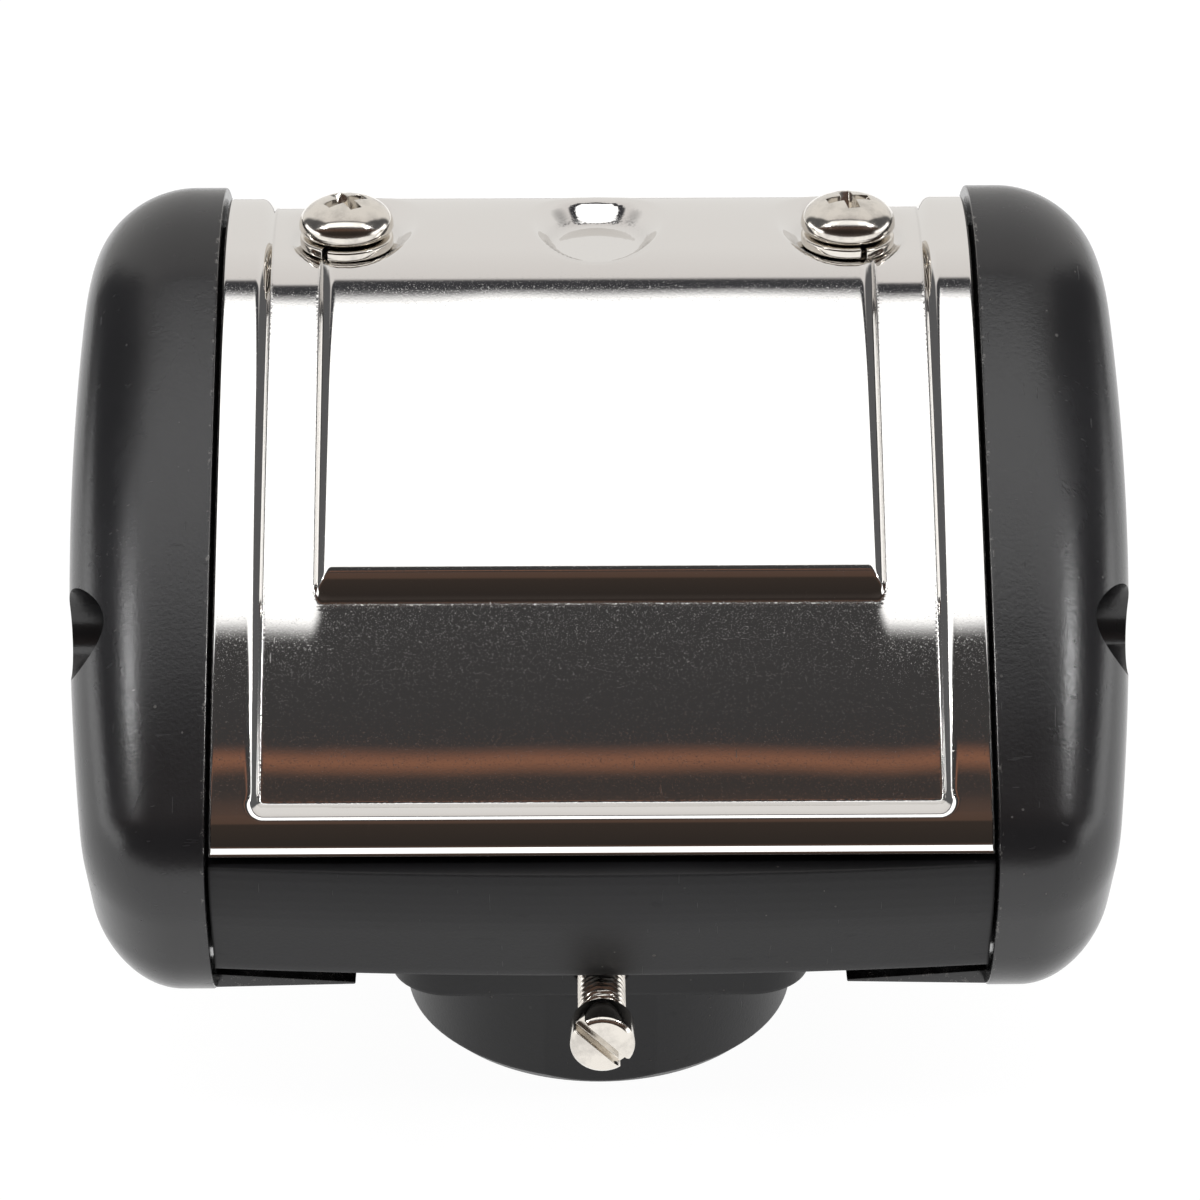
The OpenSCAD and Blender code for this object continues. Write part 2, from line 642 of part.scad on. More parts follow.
// Stamped dish, widening upwards from its flat
module dish(r, z, x) {
    rise = 6;
    translate([x, cover_screw_y, z]) cylinder(r1 = r, r2 = r + rise * seat_flare, h = rise, $fn = round_fn);
}

module steel_cover() {
    dishes = [[seat_radius, -cover_screw_x], [dimple_radius, 0], [seat_radius, cover_screw_x]];
    color(steel) difference() {
        union() {
            cover_sheet(sheet);
            intersection() {
                cover_sheet(sheet * 6);
                for (d = dishes) dish(d[0] + sheet * dish_wall, seat_z - sheet, d[1]);
            }
        }
        for (d = dishes) dish(d[0], seat_z, d[1]);
        for (side = [-1, 1])
            bar_z(seat_z - 2, seat_z + 1, cover_screw_radius + 0.25, side * cover_screw_x, cover_screw_y);
    }
}

// Pan head with a domed top, on its washer
module cover_screws() {
    head_z = seat_z + spring_washer_height;
    dome = cover_head_height * 0.55;
    dome_radius = (pow(cover_head_radius, 2) + pow(dome, 2)) / (2 * dome);
    color(nickel) for (side = [-1, 1]) translate([side * cover_screw_x, cover_screw_y, 0]) {
        bar_z(seat_z - cover_screw_length, head_z + eps, cover_screw_radius - fit, 0, 0);
        intersection() {
            bar_z(head_z, head_z + cover_head_height, cover_head_radius, 0, 0);
            translate([0, 0, head_z + cover_head_height - dome_radius]) sphere(dome_radius, $fn = round_fn);
        }
    }
}

// Flat ring, cut through at the front
module cover_spring_washers() {
    washer_bore = cover_screw_radius + 0.2;
    washer_radius = washer_bore + spring_washer_section;
    cut = 0.6;
    color(nickel) for (side = [-1, 1]) translate([side * cover_screw_x, cover_screw_y, seat_z]) difference() {
        bar_z(0, spring_washer_height, washer_radius, 0, 0);
        bar_z(-1, spring_washer_height + 1, washer_bore, 0, 0);
        rotate([0, 25, 0]) box([-cut / 2, -washer_radius - 1, -2], [cut / 2, -washer_bore / 2, 4]);
    }
}

module cover_inserts() {
    color(brass) for (side = [-1, 1]) translate([side * cover_screw_x, cover_screw_y, post_top_z]) difference() {
        bar_z(-insert_length, 0, insert_radius, 0, 0);
        bar_z(-insert_length - 1, 1, cover_screw_radius, 0, 0);
    }
}

// Section of an end wall under the cover
module end_wall_profile() {
    line = [for (s = cover_stations) rim_point(s[0], s[1], wall_inset)];
    polygon(concat(line, [[line[len(line) - 1][0], deck_z - 1], [line[0][0], deck_z - 1]]));
}

// Bowed front apron, turned about a far upright axis
module front_apron() {
    apron_turn = 2 * asin(apron_end_x / (apron_axis_y - cap_front_y)) + 2;
    lower_turn = run_normal(toe, nose);
    nose_top = 180 - asin((deck_z - nose_z) / (nose_radius + apron_proud));
    toe_end = 180 + asin((toe[1] - apron_bottom_z) / (toe_radius + apron_proud));
    face = concat([for (i = [0:6]) rim_point(nose, between(nose_top, lower_turn, i / 6), -apron_proud)],
        [for (i = [1:3]) rim_point(toe, between(lower_turn, toe_end, i / 3), -apron_proud)]);
    section = concat(face, [[apron_back_y, apron_bottom_z], [apron_back_y, deck_z]]);
    intersection() {
        translate([0, apron_axis_y, 0]) rotate([0, 0, -90 - apron_turn / 2])
            rotate_extrude(angle = apron_turn, $fn = bow_fn)
                polygon([for (p = section) [apron_axis_y - p[0], p[1]]]);
        box([-apron_end_x, cap_front_y - 5, 0], [apron_end_x, 0, cap_crest_z]);
    }
}

// One-piece moulding: deck, aprons, end walls, screw posts and the core block with its passages
module valve_body() {
    deck_bottom_z = deck_z - body_wall;
    rear_line = cap_back_y - wall_inset;
    rear_wall_top = cover_rear_z + 8;
    rib = 2;
    rib_x = (core_half_width + body_end_x - body_wall) / 2;
    color(plastic) difference() {
        union() {
            front_apron();
            box([-body_end_x, apron_back_y - 0.5, deck_bottom_z], [body_end_x, body_back_y, deck_z]);
            box([-apron_end_x, body_back_y - body_wall, apron_bottom_z],
                [apron_end_x, body_back_y, deck_z]);
            rounded_block([-core_half_width, -core_front, core_bottom_z],
                [core_half_width, core_back, deck_z], core_corner);
            box([-wall_inner_x - 1, rear_line - body_wall, deck_z - 1], [wall_inner_x + 1, rear_line,
                rear_wall_top]);
            for (side = [-1, 1]) on_side(side) {
                box([body_end_x - body_wall, apron_back_y + 1, apron_bottom_z],
                    [body_end_x, body_back_y - 1, deck_z]);
                slab_x(wall_inner_x, body_end_x) end_wall_profile();
                bar_x(cap_screw_tip_x - 1, body_end_x, screw_boss, cap_screw_places[2][0], cap_screw_places[2][1]);
                box([rib_x - rib / 2, apron_back_y, apron_bottom_z + rib], [rib_x + rib / 2,
                    body_back_y - 1, deck_bottom_z + 1]);
                intersection() {
                    bar_z(deck_z - 1, post_top_z, post_radius, cover_screw_x, cover_screw_y);
                    slab_x(0, cap_inner_x) end_wall_profile();
                }
            }
        }
        for (side = [-1, 1]) on_side(side) {
            bar_x(body_end_x - recess_depth, body_end_x + 2, chamber_radius, shuttle_y, shuttle_z);
            bar_x(wall_inner_x - 1, body_end_x, bush_radius, shuttle_y, shuttle_z);
            for (p = cap_screw_places)
                bar_x(cap_screw_tip_x - 0.5, body_end_x + 1, cap_screw_radius, p[0], p[1]);
            dish(seat_radius + sheet * dish_wall + seat_gap, post_top_z, cover_screw_x);
            bar_z(post_top_z - insert_length, post_top_z + 1, insert_radius, cover_screw_x, cover_screw_y);
            bar_z(post_top_z - cover_screw_length - 1, post_top_z, cover_screw_radius,
                cover_screw_x, cover_screw_y);
            bar_y(shuttle_y - port_radius, body_back_y + 1, nipple_bore, nipple_x, nipple_z);
            bar_y(body_back_y - 12, body_back_y + 1, nipple_radius - 0.5, nipple_x, nipple_z);
        }
        ports(nipple_z, deck_z + 1);
        bar_z(core_bottom_z - 1, deck_z, vacuum_port_radius, 0, shuttle_y);
        pilot_ports(deck_z - 6, deck_z + 1);
        bar_y(-core_front - 1, rate_seal_y + 3.6, rate_radius + 0.75, 0, rate_z);
        bar_y(-core_front - 1, 0, rate_radius + fit * 2, 0, rate_z);
        bar_y(-1, shuttle_y, 1.5, 0, rate_z);
        base_screw_places() bar_z(core_bottom_z - 1, core_bottom_z + base_screw_grip + 1, base_screw_radius, 0, 0);
    }
}

// The three base screws, the odd one at the back
module base_screw_places() {
    for (turn = [90:120:330])
        translate([base_screw_ring * cos(turn), base_screw_ring * sin(turn), 0]) children();
}

module base_connector() {
    edge = 1.2;
    color(plastic) difference() {
        rotate_extrude($fn = round_fn * 2) polygon([[0, 0], [base_radius - edge, 0], [base_radius, edge],
            [base_radius, base_height], [0, base_height]]);
        bar_z(-1, inlet_depth, inlet_radius, 0, 0);
        bar_z(inlet_depth - 1, base_height + 1, inlet_radius - 1, 0, 0);
        bar_z(inlet_depth, base_height + 1, base_gasket_inner - 1, 0, 0);
        box([-base_radius, -base_radius - 1, -1], [base_radius, -base_flat, base_height + 1]);
        base_screw_places() {
            bar_z(-1, base_height + 1, base_screw_radius + 0.2, 0, 0);
            bar_z(-1, base_height / 3, base_screw_head + 0.3, 0, 0);
        }
    }
}

module base_gasket() {
    color(rubber) difference() {
        bar_z(base_height, core_bottom_z, base_flat - 0.2, 0, 0);
        bar_z(base_height - 1, core_bottom_z + 1, base_gasket_inner - 1, 0, 0);
        base_screw_places() bar_z(base_height - 1, core_bottom_z + 1, base_screw_radius + 0.2, 0, 0);
    }
}

module base_screws() {
    head_z = base_height / 3;
    color(nickel) base_screw_places() {
        bar_z(head_z - eps, core_bottom_z + base_screw_grip, base_screw_radius - fit, 0, 0);
        difference() {
            bar_z(head_z - 2.4, head_z, base_screw_head, 0, 0);
            bar_z(head_z - 3, head_z - 1.2, base_screw_head / 3, 0, 0);
        }
    }
}

module pulse_nipple(side) {
    collar = 2.5;
    color(plastic) on_side(side) difference() {
        union() {
            bar_y(body_back_y - 12, body_back_y + 1, nipple_radius - 0.5, nipple_x, nipple_z);
            bar_y(body_back_y, body_back_y + collar, nipple_radius + 1.5, nipple_x, nipple_z);
            bar_y(body_back_y, body_back_y + nipple_length, nipple_radius, nipple_x, nipple_z);
        }
        bar_y(body_back_y - 13, body_back_y + nipple_length + 1, nipple_bore, nipple_x, nipple_z);
    }
}

// Slotted cheese head on a shank with a needle point
module rate_screw() {
    bevel = 0.5;
    face_y = rate_head_back_y - rate_head_length;
    outline = [[0, face_y], [rate_head_radius - bevel, face_y], [rate_head_radius, face_y + bevel],
        [rate_head_radius, rate_head_back_y], [rate_radius, rate_head_back_y],
        [rate_radius, rate_seal_y - rate_seal_groove], [groove_floor, rate_seal_y - rate_seal_groove],
        [groove_floor, rate_seal_y + rate_seal_groove], [rate_radius, rate_seal_y + rate_seal_groove],
        [rate_radius, rate_tip_y - rate_cone], [0.8, rate_tip_y], [0, rate_tip_y]];
    color(nickel) translate([0, 0, rate_z]) difference() {
        rotate([-90, 0, 0]) rotate_extrude($fn = round_fn) polygon(outline);
        rotate([0, 45, 0])
            box([-rate_head_radius - 1, face_y - 1, -rate_slot / 2], [rate_head_radius + 1, face_y + 1.4,
                rate_slot / 2]);
    }
}

module rate_screw_o_ring() {
    color(rubber) translate([0, rate_seal_y, rate_z]) rotate([-90, 0, 0])
        rotate_extrude($fn = round_fn) translate([rate_radius, 0]) circle(o_ring_section, $fn = 24);
}

valve_body();
end_cap(-1);  // left_end_cap
end_cap(1);  // right_end_cap
diaphragm(-1);  // left_diaphragm
diaphragm(1);  // right_diaphragm
clamping_plate(-1, body_end_x - plate_thickness);  // left_inner_plate
clamping_plate(1, body_end_x - plate_thickness);  // right_inner_plate
clamping_plate(-1, cap_inner_x);  // left_outer_plate
clamping_plate(1, cap_inner_x);  // right_outer_plate
shuttle_rod();
rod_nut(-1);  // left_rod_nut
rod_nut(1);  // right_rod_nut
rod_bush(-1);  // left_rod_bush
rod_bush(1);  // right_rod_bush
slide_driver();
main_slide();
pilot_slide();
valve_seat_plate();
seat_gasket();
air_filter();
steel_cover();
cover_screws();
cover_spring_washers();
cover_inserts();
cap_screws(-1);  // left_cap_screws
cap_screws(1);  // right_cap_screws
base_connector();
base_gasket();
base_screws();
pulse_nipple(-1);  // left_pulse_nipple
pulse_nipple(1);  // right_pulse_nipple
rate_screw();
rate_screw_o_ring();
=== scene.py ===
import bpy
import json
import math
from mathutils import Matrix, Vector


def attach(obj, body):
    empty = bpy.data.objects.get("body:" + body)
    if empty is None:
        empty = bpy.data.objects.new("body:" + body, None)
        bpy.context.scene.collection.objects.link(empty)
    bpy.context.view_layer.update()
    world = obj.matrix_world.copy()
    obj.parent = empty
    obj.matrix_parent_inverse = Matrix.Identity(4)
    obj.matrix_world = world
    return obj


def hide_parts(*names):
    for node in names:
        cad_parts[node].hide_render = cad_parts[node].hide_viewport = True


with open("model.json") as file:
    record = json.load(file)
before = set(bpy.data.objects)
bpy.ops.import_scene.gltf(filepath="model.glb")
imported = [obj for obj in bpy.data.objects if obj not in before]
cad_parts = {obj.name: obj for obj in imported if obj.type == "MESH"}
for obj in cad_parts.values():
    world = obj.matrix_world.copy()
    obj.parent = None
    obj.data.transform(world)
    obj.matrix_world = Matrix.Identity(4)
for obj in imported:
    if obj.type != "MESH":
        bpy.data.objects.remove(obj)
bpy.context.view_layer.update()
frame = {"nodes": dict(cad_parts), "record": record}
nodes = frame["nodes"]
mm = 0.001
print("frame loaded:", len(nodes), "nodes")


# small helpers for working as by hand

def clearSelection():
    if bpy.context.object and bpy.context.object.mode != "OBJECT":
        bpy.ops.object.mode_set(mode="OBJECT")
    bpy.ops.object.select_all(action="DESELECT")


def pick(obj):
    clearSelection()
    obj.select_set(True)
    bpy.context.view_layer.objects.active = obj


def rename(obj, name):
    obj.name = name
    obj.data.name = name
    return obj


def tidyMesh(obj):  # closes seams and poles, then points every face outwards
    pick(obj)
    bpy.ops.object.mode_set(mode="EDIT")
    bpy.ops.mesh.select_all(action="SELECT")
    bpy.ops.mesh.remove_doubles(threshold=1e-6)
    bpy.ops.mesh.normals_make_consistent(inside=False)
    bpy.ops.object.mode_set(mode="OBJECT")


def applyModifier(obj, kind, **settings):
    pick(obj)
    added = obj.modifiers.new(kind.lower(), kind)
    for key, setting in settings.items():
        setattr(added, key, setting)
    bpy.ops.object.modifier_apply(modifier=added.name)


def cutAway(obj, cutter):
    applyModifier(obj, "BOOLEAN", operation="DIFFERENCE", solver="EXACT", object=cutter)
    bpy.data.objects.remove(cutter)


def placed(obj):  # puts the object's place into its mesh
    pick(obj)
    bpy.ops.object.transform_apply(location=True, rotation=True, scale=True)
    return obj


def copied(obj, name, move=(0, 0, 0), turn=(0, 0, 0), spin=0.0):  # a copy with its own mesh
    pick(obj)
    bpy.ops.object.duplicate(linked=False)
    twin = rename(bpy.context.object, name)
    twin.rotation_euler.z = spin  # about its own axis first
    placed(twin)
    twin.rotation_euler = turn
    twin.location = move
    return placed(twin)


def joined(objs, name):
    clearSelection()
    for obj in objs:
        obj.select_set(True)
    bpy.context.view_layer.objects.active = objs[0]
    if len(objs) > 1:
        bpy.ops.object.join()
    return rename(bpy.context.object, name)


def softShade(obj, angle=35):
    pick(obj)
    bpy.ops.object.shade_smooth_by_angle(angle=math.radians(angle))


def wrapGrid(name, columns, rows, place):  # a flat grid blank, laid over a form point by point
    clearSelection()
    bpy.ops.mesh.primitive_grid_add(x_subdivisions=columns - 1, y_subdivisions=rows - 1, size=1.0)
    blank = rename(bpy.context.object, name)
    for v in blank.data.vertices:
        column = round((v.co.x + 0.5) * (columns - 1))
        row = round((v.co.y + 0.5) * (rows - 1))
        v.co = place(column, row)
    return blank


def turned(name, profile, segments=64):  # a disc drawn up along [radius, height] steps, as on a lathe
    clearSelection()
    radius, height = profile[0]
    bpy.ops.mesh.primitive_circle_add(vertices=segments, radius=radius, fill_type="NGON",
                                      location=(0, 0, height))
    lathe = rename(placed(bpy.context.object), name)
    bpy.ops.object.mode_set(mode="EDIT")
    bpy.ops.mesh.select_all(action="SELECT")
    for nextRadius, nextHeight in profile[1:]:
        bpy.ops.mesh.extrude_region_move(TRANSFORM_OT_translate={"value": (0, 0, nextHeight - height)})
        scale = nextRadius / radius
        bpy.ops.transform.resize(value=(scale, scale, 1), center_override=(0, 0, nextHeight))
        radius, height = nextRadius, nextHeight
    bpy.ops.object.mode_set(mode="OBJECT")
    tidyMesh(lathe)
    return lathe


def roundBar(radius, length, middle, turn, segments=48):
    clearSelection()
    bpy.ops.mesh.primitive_cylinder_add(vertices=segments, radius=radius, depth=length,
                                        location=middle, rotation=turn)
    return placed(bpy.context.object)


def ease(t):
    t = min(max(t, 0.0), 1.0)
    return t * t * (3 - 2 * t)


def rollOff(t, sharp=0.88):  # a step's fall: a long round shoulder, then a short sharp foot
    t = min(max(t, 0.0), 1.0)
    return t * t / sharp if t < sharp else 1 - (1 - t) ** 2 / (1 - sharp)


def finished(obj, body, slotName, *standsFor):
    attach(obj, body)
    if standsFor:
        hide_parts(*standsFor)
    return obj


# shader maths: one socket, joined by plain arithmetic

class Strand:
    def __init__(self, tree, socket=None):
        self.tree = tree
        self.socket = socket

    def node(self, kind, settings=None, sockets=None, out=0):
        made = self.tree.nodes.new(kind)
        for key, setting in (settings or {}).items():
            if key == "stops":
                ramp = made.color_ramp
                ramp.elements.remove(ramp.elements[1])
                ramp.elements[0].position = setting[0][0]
                ramp.elements[0].color = (*setting[0][1], 1)
                for at, colour in setting[1:]:
                    ramp.elements.new(at).color = (*colour, 1)
            else:
                setattr(made, key, setting)
        for key, value in (sockets or {}).items():
            if isinstance(value, Strand):
                self.tree.links.new(value.socket, made.inputs[key])
            else:
                made.inputs[key].default_value = value
        return Strand(self.tree, made.outputs[out])

    def maths(self, operation, *terms):
        return self.node("ShaderNodeMath", {"operation": operation}, dict(enumerate(terms)))

    def __add__(self, other):
        return self.maths("ADD", self, other)

    def __sub__(self, other):
        return self.maths("SUBTRACT", self, other)

    def __rsub__(self, other):
        return self.maths("SUBTRACT", other, self)

    def __mul__(self, other):
        return self.maths("MULTIPLY", self, other)

    def __truediv__(self, other):
        return self.maths("DIVIDE", self, other)

    __radd__ = __add__

    def between(self, low, high):  # 0 below low, 1 above high, eased
        return self.node("ShaderNodeMapRange", {"interpolation_type": "SMOOTHSTEP"},
                         {"Value": self, "From Min": low, "From Max": high})

    def mix(self, first, second):  # first where self is 0, second where it is 1
        return self.node("ShaderNodeMix", {"data_type": "RGBA"}, {0: self, 6: first, 7: second}, out=2)

    def noise(self, scale, detail=2.0, rough=0.5):  # self holds the coordinates
        return self.node("ShaderNodeTexNoise", None,
                         {"Vector": self, "Scale": scale, "Detail": detail, "Roughness": rough})

    def stretched(self, scale, turn=(0, 0, 0)):
        return self.node("ShaderNodeMapping", None, {"Vector": self, "Scale": scale, "Rotation": turn})

    def specks(self, scale, size, share):  # a dot in a share of the cells
        near = self.node("ShaderNodeTexVoronoi", None, {"Vector": self, "Scale": scale})
        cell = self.node("ShaderNodeTexVoronoi", None, {"Vector": self, "Scale": scale}, out=1)
        chance = self.node("ShaderNodeSeparateColor", None, {0: cell})
        return near.maths("LESS_THAN", near, size) * chance.maths("LESS_THAN", chance, share)


def newFinish(name):
    made = bpy.data.materials.new(name)
    made.use_nodes = True
    tree = made.node_tree
    shader = tree.nodes["Principled BSDF"]
    start = Strand(tree)
    place = start.node("ShaderNodeTexCoord", out=3)  # object coordinates, in metres
    return made, shader, place


def feed(shader, **sockets):
    for key, value in sockets.items():
        target = shader.inputs[key.replace("_", " ")]
        if isinstance(value, Strand):
            value.tree.links.new(value.socket, target)
        else:
            target.default_value = value


def roundedBump(place, height, distance, edge=0.0):  # bump, over edges softened by a small radius
    sockets = {"Height": height, "Distance": distance, "Strength": 1.0}
    if edge:
        sockets["Normal"] = place.node("ShaderNodeBevel", {"samples": 6}, {"Radius": edge})
    return place.node("ShaderNodeBump", None, sockets)


mouldedPlastics = {
    "cap": {"dark": (0.015, 0.015, 0.0165), "pale": (0.023, 0.023, 0.0255), "rough": 0.23, "grain": 2600,
            "grainHeight": 1.5e-5, "edge": 0.0, "dust": 0.45, "specular": 0.64,
            "wornBand": (0.03802, 0.03822)},  # pale specks along the inner edge, metres from the middle
    "body": {"dark": (0.010, 0.010, 0.011), "pale": (0.017, 0.017, 0.019), "rough": 0.42, "grain": 3000,
             "grainHeight": 2.0e-5, "edge": 0.00045, "dust": 0.6, "specular": 0.4},
}


def mouldedPlastic(name, look):
    made, shader, place = newFinish(name)
    cloud = place.noise(45, 4, 0.55)
    grain = place.noise(look["grain"], 3, 0.6)
    rub = place.stretched((260, 1900, 900), (0.3, 0.2, 0.5)).noise(1, 2).between(0.68, 0.74)
    scratch = place.stretched((3200, 90, 320), (0.5, 0.25, 0.9)).noise(1, 1).between(0.765, 0.78)
    specks = place.specks(420, 0.075, 0.16) + place.specks(900, 0.11, 0.10)
    dust = specks * place.noise(70, 2).between(0.45, 0.62)
    colour = cloud.between(0.3, 0.75).mix((*look["dark"], 1), (*look["pale"], 1))
    colour = (dust * look["dust"]).mix(colour, (0.20, 0.19, 0.18, 1))
    colour = (scratch * 0.35).mix(colour, (0.09, 0.09, 0.09, 1))
    if "wornBand" in look:
        outward = place.node("ShaderNodeSeparateXYZ", None, {0: place})
        band = 1 - outward.maths("ABSOLUTE", outward).between(*look["wornBand"])
        worn = band * place.noise(1300, 3, 0.7).between(0.56, 0.66)
        colour = (worn * 0.6).mix(colour, (0.26, 0.25, 0.24, 1))
    roughness = look["rough"] + (cloud - 0.5) * 0.16 + (grain - 0.5) * 0.10 + rub * 0.08 + dust * 0.3
    height = grain + cloud * 4.0 - scratch * 1.5
    feed(shader, Base_Color=colour, Roughness=roughness, Specular_IOR_Level=look["specular"],
         Normal=roundedBump(place, height, look["grainHeight"], look["edge"]))
    return made


stampedSteelLook = {
    "tint": (0.76, 0.745, 0.725), "worn": (0.66, 0.645, 0.63), "rough": 0.03,
    "peel": 4200, "sparkle": 3000, "fleck": 7000, "wave": 60, "relief": 2.4e-6,
}


def stampedSteel(name, look):
    made, shader, place = newFinish(name)
    stretch = place.node("ShaderNodeAttribute", {"attribute_name": "stretch"}, out=2)
    peel = place.noise(look["peel"], 2, 0.6)
    sparkle = place.noise(look["sparkle"], 1, 0.5)
    cloud = place.noise(55, 3, 0.5)
    fleck = place.noise(look["fleck"], 1, 0.5).between(0.58, 0.74)  # fine grain, seen in dark reflections
    wave = place.noise(look["wave"], 1, 0.4)  # the sheet is not quite true
    pits = place.specks(620, 0.08, 0.06) * place.noise(80, 2).between(0.5, 0.62)
    hair = place.stretched((2600, 120, 420), (0.2, 0.1, 0.35)).noise(1, 1).between(0.79, 0.80)
    colour = (stretch * 0.5).mix((*look["tint"], 1), (*look["worn"], 1))
    roughness = look["rough"] + cloud * 0.012 + fleck * 0.11 + stretch * 0.10 + hair * 0.10 + pits * 0.25
    height = peel * 0.12 + wave * 12.0 + sparkle * stretch * 6.0 + pits * 1.5 - hair * 0.4
    feed(shader, Base_Color=colour, Metallic=1.0, Roughness=roughness,
         Normal=roundedBump(place, height, look["relief"]))
    return made


brightMetals = {
    "nickel": {"tint": (0.74, 0.70, 0.64), "worn": (0.55, 0.52, 0.48), "rough": 0.13,
               "edge": 0.00012, "lines": 0.0, "relief": 4e-6},
    "turned": {"tint": (0.58, 0.58, 0.57), "worn": (0.42, 0.42, 0.42), "rough": 0.28,
               "edge": 0.00015, "lines": 1.0, "relief": 4e-6},
    "brass": {"tint": (0.62, 0.42, 0.16), "worn": (0.38, 0.25, 0.10), "rough": 0.30,
              "edge": 0.00015, "lines": 1.0, "relief": 4e-6},
}


def brightMetal(name, look):
    made, shader, place = newFinish(name)
    cloud = place.noise(380, 4, 0.6)
    fine = place.noise(6500, 2, 0.6)
    lathe = place.stretched((9000, 300, 300)).noise(1, 2)
    colour = cloud.between(0.42, 0.72).mix((*look["tint"], 1), (*look["worn"], 1))
    roughness = look["rough"] + (cloud - 0.5) * 0.14 + (fine - 0.5) * 0.08
    height = fine * 0.5 + lathe * look["lines"]
    feed(shader, Base_Color=colour, Metallic=1.0, Roughness=roughness,
         Normal=roundedBump(place, height, look["relief"], look["edge"]))
    return made


softStuffs = {
    "slide": {"dark": (0.62, 0.59, 0.50), "pale": (0.74, 0.71, 0.63), "rough": 0.45,
              "cells": 1500, "relief": 1.2e-5, "edge": 0.0002},
    "rubber": {"dark": (0.011, 0.011, 0.012), "pale": (0.024, 0.024, 0.024), "rough": 0.72,
               "cells": 2600, "relief": 3e-5, "edge": 0.0002},
    "foam": {"dark": (0.018, 0.018, 0.020), "pale": (0.075, 0.075, 0.08), "rough": 0.9,
             "cells": 1700, "relief": 3e-4, "edge": 0.0003},
}


def softStuff(name, look):  # rubber, foam and machined slide plastic
    made, shader, place = newFinish(name)
    cloud = place.noise(120, 3, 0.6)
    cells = place.noise(look["cells"], 3, 0.65)
    colour = (cloud * 0.5 + cells * 0.5).between(0.3, 0.7).mix((*look["dark"], 1), (*look["pale"], 1))
    roughness = look["rough"] + (cells - 0.5) * 0.2
    feed(shader, Base_Color=colour, Roughness=roughness, Specular_IOR_Level=0.35,
         Normal=roundedBump(place, cells, look["relief"], look["edge"]))
    return made


finishes = {
    "cap_plastic": mouldedPlastic("capPlastic", mouldedPlastics["cap"]),
    "black_plastic": mouldedPlastic("bodyPlastic", mouldedPlastics["body"]),
    "stamped_steel": stampedSteel("stampedSteel", stampedSteelLook),
    "nickel_screw": brightMetal("nickelPlate", brightMetals["nickel"]),
    "turned_steel": brightMetal("turnedSteel", brightMetals["turned"]),
    "brass": brightMetal("machinedBrass", brightMetals["brass"]),
    "slide_plastic": softStuff("slidePlastic", softStuffs["slide"]),
    "black_rubber": softStuff("blackRubber", softStuffs["rubber"]),
    "filter_foam": softStuff("filterFoam", softStuffs["foam"]),
}


def dress(obj, slotName):
    obj.data.materials.clear()
    obj.data.materials.append(finishes[slotName])


for row in frame["record"]["subparts"]:
    dress(nodes[row["node"]], row["material_slot"])
print("finishes made:", len(finishes))


# side profile shared by the caps and the cover, [y, z, radius] in mm
sideProfile = {
    "toe": (-22.6, 26.0, 10.0),
    "nose": (-22.0, 31.5, 12.0),
    "shoulder": (21.0, 61.0, 20.0),
    "crown": (21.0, 68.0, 13.0),
    "heel": (24.0, 26.0, 10.0),
    "slopeStart": 41.0,  # facing of the sloping front at its foot, degrees above the front
}


def facing(turn):  # outward direction in the side view, 0 to the front and 90 up
    return Vector((-math.cos(math.radians(turn)), math.sin(math.radians(turn))))


def slopeArc(nose, shoulder, start):  # wide arc that touches the nose and the shoulder
    gap = Vector(nose[:2]) - Vector(shoulder[:2])
    reach = gap.dot(facing(start))
    top = gap.dot(gap) + 2 * nose[2] * reach - shoulder[2] ** 2 + nose[2] ** 2
    radius = top / (2 * reach - 2 * (shoulder[2] - nose[2]))
    centre = Vector(nose[:2]) - facing(start) * (radius - nose[2])
    away = Vector(shoulder[:2]) - centre
    return (centre.x, centre.y, radius), math.degrees(math.atan2(away.y, -away.x))


slope, slopeEnd = slopeArc(sideProfile["nose"], sideProfile["shoulder"], sideProfile["slopeStart"])
toe, nose, shoulder, crown, heel = (sideProfile[k] for k in ("toe", "nose", "shoulder", "crown", "heel"))
toeEnd = -math.degrees(math.asin((nose[2] - toe[2]) / math.dist(nose[:2], toe[:2]))
                       - math.atan((nose[0] - toe[0]) / (nose[1] - toe[1])))


# stamped cover, from a blank laid over the profile
coverLook = {
    "inset": 1.0, "halfWidth": 37.4, "rim": 3.2, "channel": 4.65, "depth": 1.0,
    "rimStep": (1.65, 2.0), "panelStep": (1.75, 3.8),  # widths of the steps, at the sides and at the foot
    "edgeHeight": 35.4, "rearHeight": 50.0, "lip": 0.40, "lipReach": 0.95,
    "sideRoll": 0.3, "sideDrop": 0.12,
    "rimLead": 0.7, "panelFoot": 21.0, "rimCorner": 1.2, "panelCorner": 0.6,
    "lift": 0.12, "liftReach": 4.0, "liftEdge": (0.4, 2.4),
    "seatRow": 16.5, "seatHeight": 77.6, "holes": (-25.25, 25.25), "holeRadius": 2.75,
    "screwSeat": (4.9, 1.2, 0.22), "dimple": (4.5, 1.1, 0.2),  # radius, flare and softness
    "sheet": 0.8, "edgeBevel": 0.14,
}


def coverArcs(look):
    inset = look["inset"]
    edge = math.degrees(math.asin((look["edgeHeight"] - nose[1]) / (nose[2] - inset)))
    spans = ((nose, edge, sideProfile["slopeStart"]), (slope, sideProfile["slopeStart"], slopeEnd),
             (shoulder, slopeEnd, 90.0), (crown, 90.0, 180.0))
    arcs = []
    run = 0.0
    for circle, start, end in spans:
        radius = circle[2] - inset
        length = radius * math.radians(end - start)
        arcs.append((run, length, circle, radius, start, end))
        run += length
    return arcs, run


coverRun, coverTop = coverArcs(coverLook)
slopeFoot = coverRun[1][0]


